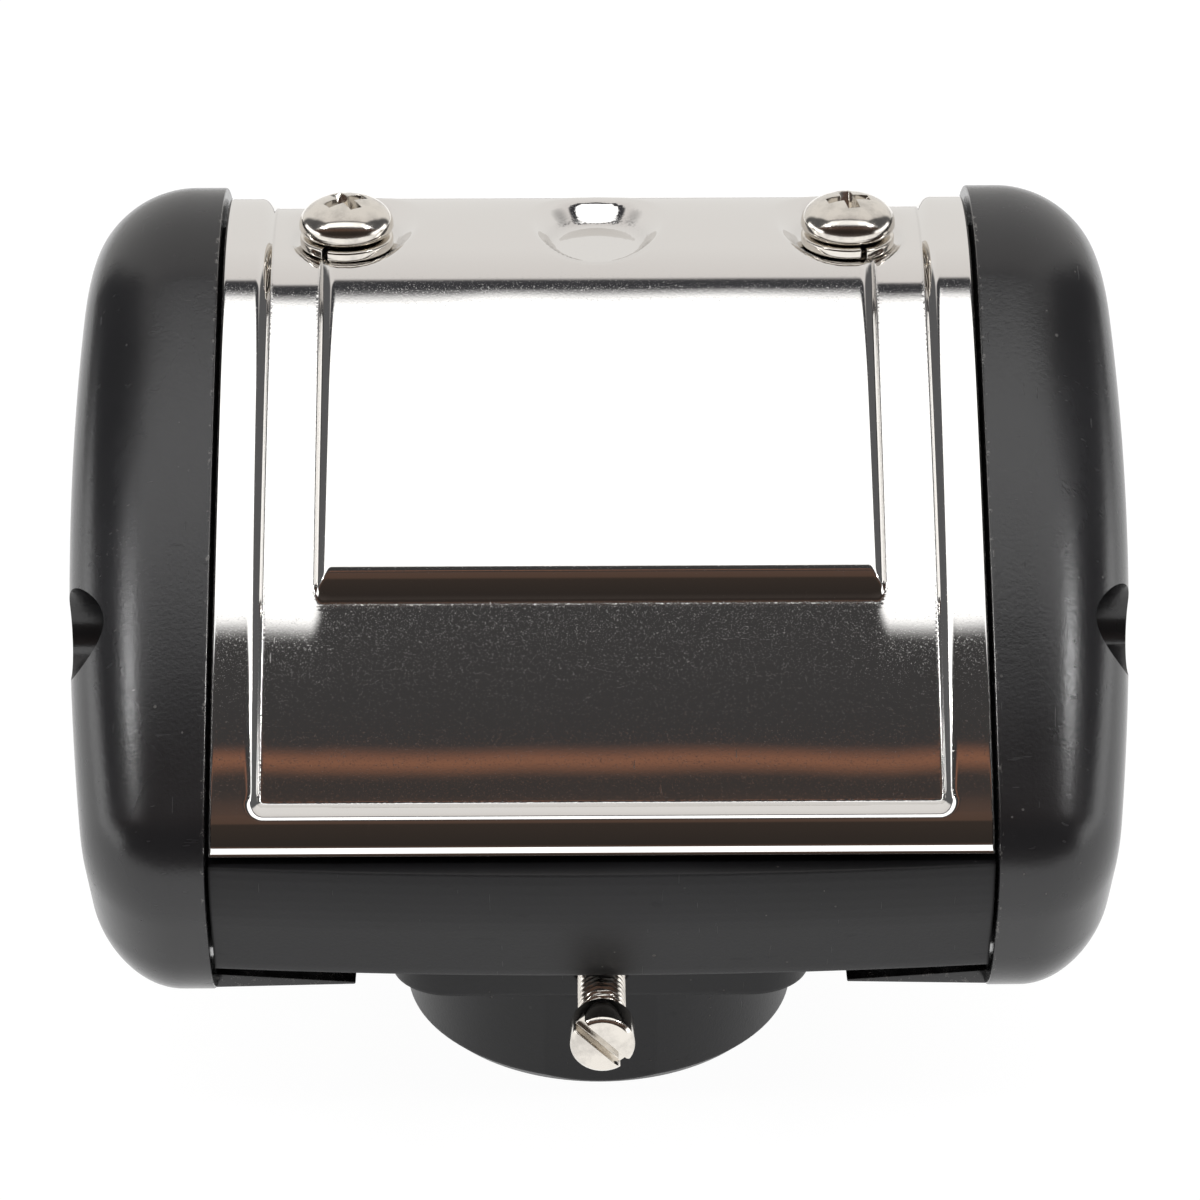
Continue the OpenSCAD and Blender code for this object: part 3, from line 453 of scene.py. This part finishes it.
def coverPoint(s):  # place and facing on the plain cover, s mm up from its lower edge
    for run, length, circle, radius, start, end in coverRun:
        if s <= run + length:
            turn = start + (end - start) * (s - run) / length
            out = facing(turn)
            return Vector(circle[:2]) + out * radius, out
    return Vector((crown[0] + crown[2] - coverLook["inset"], crown[1] - (s - coverTop))), Vector((1.0, 0.0))


def stepShare(x, s, half, foot, widths, corner):  # depth inside a rounded rectangle, in step widths
    across = (abs(x) - half) / widths[0] + corner
    down = (foot - s) / widths[1] + corner
    outer = math.hypot(max(across, 0), max(down, 0))
    return corner - outer - min(max(across, down), 0)


def coverEmboss(x, s, look):  # height over the plain cover, and how far the sheet was stretched
    rimHalf = look["halfWidth"] - look["rim"]
    panelHalf = rimHalf - look["rimStep"][0] - look["channel"]  # at the panel's foot
    panelFoot = slopeFoot + look["panelFoot"]
    inRim = stepShare(x, s, rimHalf, slopeFoot - look["rimLead"], look["rimStep"], look["rimCorner"])
    inPanel = stepShare(x, s, panelHalf, panelFoot, look["panelStep"], look["panelCorner"])
    rim = rollOff(inRim)
    panel = 1 - rollOff(1 - inPanel)
    height = look["depth"] * (panel - rim)
    spare, fade = look["liftEdge"]
    middle = ease((panelHalf + spare - abs(x)) / fade)  # the field under the panel climbs towards it
    height += look["lift"] * middle * math.exp(-abs(panelFoot - s) / look["liftReach"]) * (1 - panel) * rim
    height += look["lip"] * ease(1 - s / look["lipReach"])
    roll = (abs(x) - look["halfWidth"] + look["sideRoll"]) / look["sideRoll"]
    if roll > 0:
        height -= look["sideDrop"] * roll * roll
    foot = math.exp(-((inRim - 0.98) / 0.08) ** 2) + math.exp(-((inPanel - 0.02) / 0.08) ** 2)
    return height, min(foot, 1.0)


def spaced(marks):  # values from [start, spacing] marks up to the last start
    values = []
    for (start, gap), (end, _) in zip(marks, marks[1:]):
        count = max(1, round((end - start) / gap))
        values += [start + (end - start) * i / count for i in range(count)]
    return values + [marks[-1][0]]


def makeCover(look):
    rimHalf = look["halfWidth"] - look["rim"]
    rimFoot = rimHalf - look["rimStep"][0]
    panelHalf = rimFoot - look["channel"]
    panelTop = panelHalf - look["panelStep"][0]
    half = spaced(((0, 0.42), (7.5, 0.9), (18.0, 0.42), (panelTop - 0.2, 0.14), (panelHalf - 0.4, 0.05),
                   (panelHalf + 0.2, 0.42), (rimFoot - 0.2, 0.05), (rimFoot + 0.4, 0.14),
                   (rimHalf + 0.2, 0.6), (look["halfWidth"] - 0.4, 0.08), (look["halfWidth"], 1)))
    across = [-x for x in reversed(half[1:])] + half
    foot, panel = slopeFoot - look["rimLead"], slopeFoot + look["panelFoot"]
    rise, panelRise = look["rimStep"][1], look["panelStep"][1]
    along = spaced(((0, 0.12), (1.2, 0.6), (foot - 0.2, 0.14), (foot + rise - 0.4, 0.05),
                    (foot + rise + 0.2, 0.7), (panel - 4.0, 0.4), (panel - 0.2, 0.07), (panel + 0.8, 0.2),
                    (panel + panelRise + 0.2, 0.8), (slopeFoot + 53.5, 0.36), (coverTop - 16.0, 0.7),
                    (coverTop, 2.0), (coverTop + crown[1] - look["rearHeight"], 1)))
    stretched = {}
    left, right = look["holes"]
    seats = ((left, *look["screwSeat"]), (0.0, *look["dimple"]), (right, *look["screwSeat"]))

    def place(column, row):
        x, s = across[column], along[row]
        base, out = coverPoint(s)
        height, pull = coverEmboss(x, s, look)
        spot = base + out * height
        y, z = spot.x, spot.y
        for seatX, radius, flare, soft in seats:  # each seat presses the sheet down to its flat
            away = math.hypot(x - seatX, y - look["seatRow"])
            if away < radius + 6 and out.y > 0.6:
                dish = look["seatHeight"] + max(0.0, away - radius) / flare
                over = z - dish
                pressed = 0.5 * (over + math.hypot(over, soft))
                z -= max(0.0, pressed - 0.02) if over > -1.0 else 0.0
                pull = max(pull, 0.8 * math.exp(-((away - radius - 0.4) / 0.5) ** 2) * ease(over + 1.0))
        stretched[(column, row)] = pull
        return Vector((x, y, z)) * mm

    cover = wrapGrid("steelCover", len(across), len(along), place)
    mark = cover.data.attributes.new("stretch", "FLOAT", "POINT")
    mark.data.foreach_set("value", [stretched[(column, row)] for row in range(len(along))
                                    for column in range(len(across))])
    pick(cover)
    bpy.ops.object.mode_set(mode="EDIT")
    bpy.ops.mesh.select_all(action="DESELECT")
    bpy.ops.object.mode_set(mode="OBJECT")
    for face in cover.data.polygons:
        middle = face.center / mm
        nearest = min(math.hypot(middle.x - x, middle.y - look["seatRow"]) for x in look["holes"])
        face.select = middle.z > shoulder[1] and nearest < look["holeRadius"] - 0.1
    bpy.ops.object.mode_set(mode="EDIT")
    bpy.ops.mesh.delete(type="FACE")
    bpy.ops.mesh.select_all(action="SELECT")
    bpy.ops.mesh.normals_make_consistent(inside=False)
    bpy.ops.object.mode_set(mode="OBJECT")
    if cover.data.polygons[0].normal.y > 0:
        cover.data.flip_normals()
    applyModifier(cover, "SOLIDIFY", thickness=look["sheet"] * mm, offset=-1.0)
    applyModifier(cover, "BEVEL", width=look["edgeBevel"] * mm, segments=2, limit_method="ANGLE",
                  angle_limit=math.radians(55))
    softShade(cover, 60)
    dress(cover, "stamped_steel")
    return finished(cover, "housing", "stamped_steel", "steel_cover")


makeCover(coverLook)
print("cover stamped")


# end caps, rings of the outline drawn in over a domed end
capLook = {
    "inner": 37.8, "outer": 52.47, "land": 3.2, "reach": 9.2, "innerEdge": 0.18,
    "crown": 333.0, "summit": (-1.0, 60.0),  # radius and top of the gently rounded end
    "middle": (2.5, 46.0), "trueInset": 9.5, "shrink": 23.5,
    "screwRing": 20.0, "screwTurns": (57, 177, 297), "shuttle": (7.0, 48.0),
    "counterbore": 4.5, "counterboreCut": 20.0, "screwSeat": 45.0, "screwHole": 2.25, "screwHoleCut": 30.0,
    "chamber": 14.8, "chamberDepth": 10.2, "holeBevel": 0.22, "edgeSteps": 26, "ringGap": 2.0,
    "tongue": {"reach": 13.6, "root": 1.6, "tip": 0.3, "depth": 3.5, "low": 17.0,
               "overlap": 0.4, "bevel": 0.12},
}


def capRing(inset, look):  # the outline, drawn in
    spans = ((toe, -90.0, toeEnd, 14), (nose, toeEnd, sideProfile["slopeStart"], 14),
             (slope, sideProfile["slopeStart"], slopeEnd, 36), (shoulder, slopeEnd, 90.0, 14),
             (crown, 90.0, 180.0, 20), (heel, 180.0, 270.0, 16))
    true = min(inset, look["trueInset"])
    ring = []
    for circle, start, end, count in spans:
        for i in range(count + 1):
            ring.append(Vector(circle[:2]) + facing(start + (end - start) * i / count) * (circle[2] - true))
        if circle in (crown, heel):  # long straight runs down the back and along the bottom
            following = heel if circle is crown else toe
            end2 = Vector(following[:2]) + facing(end) * (following[2] - true)
            ring += [ring[-1].lerp(end2, i / 24) for i in range(1, 24)]
    ring.append(ring[0].copy())
    if inset > true:
        middle = Vector(look["middle"])
        scale = max(0.0, 1 - (inset - true) / look["shrink"])
        ring = [middle + (p - middle) * scale for p in ring]
    return ring


def capScrewSpots(look):
    y0, z0 = look["shuttle"]
    turns = [math.radians(a) for a in look["screwTurns"]]
    return [(y0 + look["screwRing"] * math.cos(a), z0 + look["screwRing"] * math.sin(a)) for a in turns]


def makeCap(look):
    thickness = look["outer"] - look["inner"]
    edge = look["innerEdge"]
    deepest = look["trueInset"] + look["shrink"]
    steps = look["edgeSteps"]
    rings = [(deepest, 0.0, 0.0), (20.0, 0.0, 0.0), (3.0, 0.0, 0.0), (edge * 2, 0.0, 0.0), (edge, 0.0, 0.0),
             (edge * 0.3, edge * 0.3, 0.0), (0.0, edge, 0.0), (0.0, edge * 2, 0.0),
             (0.0, look["land"] * 0.6, 0.0), (0.0, look["land"], 0.0)]
    for i in range(1, steps + 1):  # rounded edge, as [inset, rise, share of the crown]
        turn = math.radians(90 * i / steps)
        rise = look["land"] + (thickness - look["land"]) * math.sin(turn)
        rings.append((look["reach"] * (1 - math.cos(turn)), rise, math.sin(turn)))
    inner = look["reach"]
    while inner < deepest - look["ringGap"]:
        inner += look["ringGap"]
        rings.append((inner, thickness, 1.0))
    rings.append((deepest, thickness, 1.0))
    outlines = [capRing(inset, look) for inset, rise, share in rings]
    summit = Vector(look["summit"])

    def place(column, row):
        spot = outlines[row][column]
        inset, rise, share = rings[row]
        fall = share * (spot - summit).length_squared / (2 * look["crown"])
        return Vector((look["inner"] + rise - fall, spot.x, spot.y)) * mm

    cap = wrapGrid("rightEndCap", len(outlines[0]), len(rings), place)
    tidyMesh(cap)
    along = (0, math.pi / 2, 0)
    y0, z0 = look["shuttle"]
    cutAway(cap, roundBar(look["chamber"] * mm, 2 * look["chamberDepth"] * mm,
                          Vector((look["inner"], y0, z0)) * mm, along, 96))
    wide, narrow = look["counterboreCut"], look["screwHoleCut"]
    for y, z in capScrewSpots(look):
        outside = Vector((look["screwSeat"] + wide / 2, y, z)) * mm
        cutAway(cap, roundBar(look["counterbore"] * mm, wide * mm, outside, along, 64))
        through = Vector((look["inner"] + 5, y, z)) * mm
        cutAway(cap, roundBar(look["screwHole"] * mm, narrow * mm, through, along, 32))
    applyModifier(cap, "BEVEL", width=look["holeBevel"] * mm, segments=2, limit_method="ANGLE",
                  angle_limit=math.radians(50))
    return cap


def capTongue(look):  # thin tongue that closes the corner under the body's front edge
    size = look["tongue"]
    toeTurn = math.acos((toe[1] - size["low"]) / toe[2])
    back = toe[0] - toe[2] * math.sin(toeTurn) + size["depth"]
    clearSelection()
    bpy.ops.mesh.primitive_cube_add(size=1.0)
    tongue = rename(bpy.context.object, "tongue")
    far, near = look["inner"] - size["reach"], look["inner"] + size["overlap"]
    for v in tongue.data.vertices:
        low, high = size["low"], size["low"] + size["root"]
        if v.co.x < 0:
            low, high = size["low"] + size["tip"], size["low"] + 2 * size["tip"]
        x = far if v.co.x < 0 else near
        y = back if v.co.y > 0 else back - size["depth"]
        v.co = Vector((x, y, high if v.co.z > 0 else low)) * mm
    applyModifier(tongue, "BEVEL", width=size["bevel"] * mm, segments=2, limit_method="NONE")
    return tongue


rightCap = joined([makeCap(capLook), capTongue(capLook)], "rightEndCap")
softShade(rightCap, 40)
dress(rightCap, "cap_plastic")
leftCap = copied(rightCap, "leftEndCap")
leftCap.scale.x = -1
placed(leftCap)
tidyMesh(leftCap)
softShade(leftCap, 40)
finished(rightCap, "housing", "cap_plastic", "right_end_cap")
finished(leftCap, "housing", "cap_plastic", "left_end_cap")
print("end caps moulded")


# pan-head screws with a cross recess
panScrews = {
    "cover": {"head": 4.75, "height": 3.7, "skirt": 1.5, "shank": 2.45, "length": 13.3,
              "cross": 5.2, "blade": 1.35, "deep": 2.5, "seat": 78.9, "spins": (0.55, 0.2)},
    "cap": {"head": 3.8, "height": 2.6, "skirt": 1.0, "shank": 1.95, "length": 15.5,
            "cross": 4.2, "blade": 1.0, "deep": 1.7, "spins": (0.35, 1.15, 1.95)},
    "base": {"head": 3.0, "height": 2.4, "skirt": 0.9, "shank": 1.7, "length": 15.6,
             "cross": 3.4, "blade": 0.9, "deep": 1.5, "seat": 13 / 3, "ring": 14.8,
             "turns": (90, 210, 330)},
}


def panScrew(size):  # stands on its seat at the origin, head up
    head, height, skirt = size["head"], size["height"], size["skirt"]
    shank, length = size["shank"], size["length"]
    domeFoot = skirt * 0.7
    profile = [(shank * 0.7, -length), (shank, -length + 0.8), (shank, 0.0), (head - 1.1, 0.0),
               (head - 0.6, skirt * 0.1), (head - 0.2, skirt * 0.3), (head, skirt * 0.55), (head, domeFoot)]
    for i in range(1, 13):  # dome
        turn = math.radians(90 * i / 12)
        radius = max(head * math.cos(turn) ** 0.8, 0.25)
        profile.append((radius, domeFoot + (height - domeFoot) * math.sin(turn) ** 1.05))
    screw = turned("panScrew", [(r * mm, z * mm) for r, z in profile], 72)
    for turn in (0, math.pi / 2):
        clearSelection()
        bpy.ops.mesh.primitive_cube_add(size=1.0)
        blade = bpy.context.object
        for v in blade.data.vertices:
            taper = 1.0 if v.co.z > 0 else 0.45
            v.co.x *= size["cross"] * taper * mm
            v.co.y *= size["blade"] * (1.0 if v.co.z > 0 else 0.7) * mm
            v.co.z = (height + 0.6 if v.co.z > 0 else height - size["deep"]) * mm
        blade.rotation_euler.z = turn
        cutAway(screw, placed(blade))
    applyModifier(screw, "BEVEL", width=0.07 * mm, segments=2, limit_method="ANGLE",
                  angle_limit=math.radians(48))
    softShade(screw, 40)
    dress(screw, "nickel_screw")
    return screw


def copiesOf(model, places, name):  # places are [position in mm, turn, spin]
    made = [copied(model, name, Vector(spot) * mm, turn, spin) for spot, turn, spin in places]
    bpy.data.objects.remove(model)
    return joined(made, name)


size = panScrews["cover"]
places = [((x, coverLook["seatRow"], size["seat"]), (0, 0, 0), spin)
          for x, spin in zip(coverLook["holes"], size["spins"])]
coverScrews = copiesOf(panScrew(size), places, "coverScrews")
finished(coverScrews, "housing", "nickel_screw", "cover_screws")
size = panScrews["cap"]
for side, name in ((-1, "left"), (1, "right")):
    places = [((side * capLook["screwSeat"], y, z), (0, side * math.pi / 2, 0), spin)
              for (y, z), spin in zip(capScrewSpots(capLook), size["spins"])]
    capScrews = copiesOf(panScrew(size), places, name + "CapScrews")
    finished(capScrews, "housing", "nickel_screw", name + "_cap_screws")
size = panScrews["base"]
places = []
for turn in size["turns"]:
    x = size["ring"] * math.cos(math.radians(turn))
    y = size["ring"] * math.sin(math.radians(turn))
    places.append(((x, y, size["seat"]), (math.pi, 0, 0), turn))
baseScrews = copiesOf(panScrew(size), places, "baseScrews")
finished(baseScrews, "housing", "nickel_screw", "base_screws")
print("screws driven")


# split spring washers, a section swept round with a slight climb
washerLook = {
    "bore": 2.7, "radius": 4.7, "foot": 0.02, "height": 1.12, "corner": 0.3,
    "climb": 0.16, "sweep": 352, "steps": 96, "split": (-1.95, -1.2),
}


def springWasher(look, start):
    clearSelection()
    bpy.ops.mesh.primitive_plane_add(size=1.0)
    ring = rename(bpy.context.object, "springWasher")
    for v in ring.data.vertices:
        across = look["bore"] if v.co.x < 0 else look["radius"]
        v.co = Vector((across, 0, look["foot"] if v.co.y < 0 else look["height"])) * mm
    bpy.ops.object.mode_set(mode="EDIT")
    bpy.ops.mesh.select_all(action="SELECT")
    bpy.ops.mesh.bevel(offset=look["corner"] * mm, segments=4, affect="VERTICES")
    bpy.ops.mesh.delete(type="ONLY_FACE")
    bpy.ops.object.mode_set(mode="OBJECT")
    applyModifier(ring, "SCREW", angle=math.radians(look["sweep"]), screw_offset=look["climb"] * mm,
                  steps=look["steps"], render_steps=look["steps"], axis="Z")
    pick(ring)
    bpy.ops.object.mode_set(mode="EDIT")
    bpy.ops.mesh.select_all(action="SELECT")
    bpy.ops.mesh.fill_holes(sides=0)
    bpy.ops.object.mode_set(mode="OBJECT")
    tidyMesh(ring)
    softShade(ring, 50)
    dress(ring, "nickel_screw")
    ring.rotation_euler.z = start
    return placed(ring)


washers = []
for x, start in zip(coverLook["holes"], washerLook["split"]):
    washers.append(springWasher(washerLook, start))
    washers[-1].location = Vector((x, coverLook["seatRow"], coverLook["seatHeight"])) * mm
    placed(washers[-1])
finished(joined(washers, "coverSpringWashers"), "housing", "nickel_screw", "cover_spring_washers")
print("washers split")


# rate screw: slotted cheese head, threaded shank and needle point, along the front-back axis
rateLook = {
    "axis": 17.4, "head": 3.125, "face": -38.1, "headBack": -34.4, "bevel": 0.4, "backBevel": 0.15,
    "thread": 2.35, "root": 2.02, "pitch": 0.8, "threadEnd": -16.6, "threadFade": 0.6, "around": 48,
    "groove": (-16.05, -14.15), "grooveFloor": 1.65, "coneStart": -6.0, "tip": -2.0, "tipRadius": 0.8,
    "slot": 1.2, "slotDepth": 1.4, "slotTurn": 45,
}


def makeRateScrew(look):
    face, back, head = look["face"], look["headBack"], look["head"]
    thread, root, threadEnd = look["thread"], look["root"], look["threadEnd"]
    bevel, backBevel = look["bevel"], look["backBevel"]
    grooveStart, grooveEnd = look["groove"]
    floorRadius = look["grooveFloor"]
    profile = [(head - bevel, face), (head, face + bevel), (head, back - backBevel), (head - backBevel, back),
               (root, back), (root, threadEnd), (thread, threadEnd + 0.1), (thread, grooveStart),
               (floorRadius, grooveStart + 0.02), (floorRadius, grooveEnd - 0.02), (thread, grooveEnd),
               (thread, look["coneStart"]), (look["tipRadius"], look["tip"])]
    screw = turned("rateScrew", [(r * mm, z * mm) for r, z in profile], 72)
    clearSelection()
    bpy.ops.mesh.primitive_cube_add(size=1.0)
    slot = bpy.context.object
    slot.scale = Vector((10, look["slot"], 2 * look["slotDepth"])) * mm
    slot.location.z = face * mm
    slot.rotation_euler.z = math.radians(look["slotTurn"])
    cutAway(screw, placed(slot))
    applyModifier(screw, "BEVEL", width=0.08 * mm, segments=2, limit_method="ANGLE",
                  angle_limit=math.radians(40))
    rows = int((threadEnd - back) / 0.1)
    around = look["around"]
    low = root + 0.02  # just over the plain shank

    def place(column, row):
        turn = 2 * math.pi * column / around
        along = back + (threadEnd - back) * row / rows
        phase = ((along - back) / look["pitch"] - column / around) % 1.0
        crest = min(1.0, max(0.0, 1.25 - abs(phase - 0.5) * 3.4))
        fade = ease((threadEnd - along) / look["threadFade"])
        radius = low + (thread - low) * crest * fade
        return Vector((radius * math.cos(turn), radius * math.sin(turn), along)) * mm

    winding = wrapGrid("thread", around + 1, rows + 1, place)
    tidyMesh(winding)
    whole = joined([screw, winding], "rateScrew")
    softShade(whole, 40)
    whole.rotation_euler.x = -math.pi / 2
    whole.location.z = look["axis"] * mm
    placed(whole)
    dress(whole, "nickel_screw")
    return finished(whole, "rate_screw", "nickel_screw", "rate_screw")


makeRateScrew(rateLook)
print("rate screw threaded")


# pale floor, camera and studio surround
white = (1, 1, 1, 1)
floorLook = {
    "size": 8.0, "drop": 0.0002, "tone": (0.86, 0.86, 0.86, 1), "rough": 0.8, "specular": 0.1,
    "seen": 0.9, "shiny": 0.8, "glow": 1.08, "shinyGlow": (1.25, 1.25, 1.25, 1),
}
clearSelection()
bpy.ops.mesh.primitive_plane_add(size=floorLook["size"], location=(0, 0, -floorLook["drop"]))
floor = rename(placed(bpy.context.object), "paleFloor")
made, shader, place = newFinish("paleFloor")
feed(shader, Base_Color=floorLook["tone"], Roughness=floorLook["rough"],
     Specular_IOR_Level=floorLook["specular"])
seen = place.node("ShaderNodeLightPath")  # rays from the camera
shiny = place.node("ShaderNodeLightPath", out=3)  # rays off bright metal
glow = shiny.mix(white, floorLook["shinyGlow"])
paper = place.node("ShaderNodeEmission", None, {"Color": glow, "Strength": floorLook["glow"]})
surface = Strand(made.node_tree, shader.outputs[0])
share = seen * floorLook["seen"] + shiny * floorLook["shiny"]
both = place.node("ShaderNodeMixShader", None, {0: share, 1: surface, 2: paper})
made.node_tree.links.new(both.socket, made.node_tree.nodes["Material Output"].inputs["Surface"])
floor.data.materials.append(made)

cameraLook = {"place": (-3.31, -357.0, 235.5), "down": 28.0, "heading": 0.55, "lens": 120.0, "sensor": 36.0}
pitch = math.radians(90 - cameraLook["down"])
heading = -math.radians(cameraLook["heading"])
bpy.ops.object.camera_add(location=Vector(cameraLook["place"]) * mm, rotation=(pitch, 0, heading))
camera = bpy.context.object
camera.data.lens = cameraLook["lens"]
camera.data.sensor_width = cameraLook["sensor"]
camera.data.clip_start = 0.01
bpy.context.scene.camera = camera

# light comes by height over the front, in degrees: dark room, wide soft box, dark gap, pale backdrop
surround = (
    (-20, (0.30, 0.29, 0.28)), (0, (0.12, 0.10, 0.09)), (20, (0.035, 0.028, 0.024)),
    (40, (0.045, 0.034, 0.028)), (43, (0.10, 0.062, 0.046)), (51, (0.11, 0.068, 0.052)),
    (52.2, (0.05, 0.044, 0.042)), (53.1, (0.05, 0.045, 0.042)), (53.4, (0.30, 0.135, 0.08)),
    (54.1, (0.30, 0.135, 0.08)), (54.5, (0.050, 0.048, 0.048)), (61.1, (0.055, 0.053, 0.053)),
    (61.9, (1.0, 1.0, 1.0)), (80.9, (1.0, 1.0, 1.0)), (81.4, (0.05, 0.05, 0.055)),
    (85.5, (0.06, 0.06, 0.065)), (87.5, (0.82, 0.79, 0.77)), (110, (0.90, 0.88, 0.86)),
    (200, (0.90, 0.89, 0.87)),
)
studioLook = {
    "lowest": -20, "span": 220,  # of the heights above
    "boxFoot": (61.1, 61.9), "boxTop": (80.9, 81.4), "boxEnd": (0.90, 0.98), "boxGain": 0.75,
    "boxLeanFrom": 62, "boxLean": 0.022,  # the soft box narrows upwards
    "lampStart": (0.64, 0.67), "lampEnd": (0.74, 0.77), "lampFoot": (61.3, 62.3), "lampFade": (63, 69),
    "lampLeanFrom": 63.5, "lampLean": 0.0112, "lampGain": 32.0,  # a brighter slanted lamp at each side
    "backFrom": 81, "backReach": 0.5, "backWiden": 0.005, "backMost": 0.70, "backSoft": 0.1,
    "wingStart": (0.86, 0.93), "wingTop": (0.165, 0.21), "wingGain": 1.2,  # low pale walls at the sides
    "room": (0.12, 0.12, 0.124, 1),
}


def lightStudio(look):
    world = bpy.data.worlds.new("studio")
    bpy.context.scene.world = world
    world.use_nodes = True
    tree = world.node_tree
    sky = Strand(tree)
    toward = sky.node("ShaderNodeTexCoord")
    parts = [sky.node("ShaderNodeSeparateXYZ", None, {0: toward}, out=i) for i in range(3)]
    height = parts[2].maths("ARCTAN2", parts[2], parts[1] * -1.0) * (180 / math.pi)
    stops = [((at - look["lowest"]) / look["span"], colour) for at, colour in surround]
    scaled = (height - look["lowest"]) / look["span"]
    tone = sky.node("ShaderNodeValToRGB", {"stops": stops}, {0: scaled})
    sideways = parts[0].maths("ABSOLUTE", parts[0])
    above = height.between(*look["boxTop"])
    box = height.between(*look["boxFoot"]) * (1 - above)
    lean = (height - look["boxLeanFrom"]) * look["boxLean"]
    boxEnd = (sideways + lean).between(*look["boxEnd"]) * (1 - above)
    lampSpot = sideways - (height - look["lampLeanFrom"]) * look["lampLean"]
    lamp = lampSpot.between(*look["lampStart"]) * (1 - lampSpot.between(*look["lampEnd"]))
    lamp = lamp * height.between(*look["lampFoot"]) * (1 - height.between(*look["lampFade"]))
    backReach = (height - look["backFrom"]) * look["backWiden"] + look["backReach"]
    backReach = backReach.maths("MINIMUM", backReach, look["backMost"])
    backEnd = (sideways - backReach).between(0.0, look["backSoft"]) * above
    beyond = boxEnd + backEnd
    beyond = beyond.maths("MINIMUM", beyond, 1.0)
    wing = sideways.between(*look["wingStart"]) * (1 - parts[2].between(*look["wingTop"]))
    strength = 1.0 + box * (1 - boxEnd) * look["boxGain"] + lamp * look["lampGain"] + wing * look["wingGain"]
    tone = beyond.mix(tone, look["room"])
    tone = wing.mix(tone, white)
    tone = lamp.mix(tone, white)
    direct = sky.node("ShaderNodeLightPath")  # past the floor's edge the camera sees plain white
    tone = direct.mix(tone, white)
    back = tree.nodes["Background"]
    tree.links.new(tone.socket, back.inputs["Color"])
    tree.links.new(strength.socket, back.inputs["Strength"])


lightStudio(studioLook)
bpy.context.scene.view_settings.view_transform = "Standard"
print("studio lit")
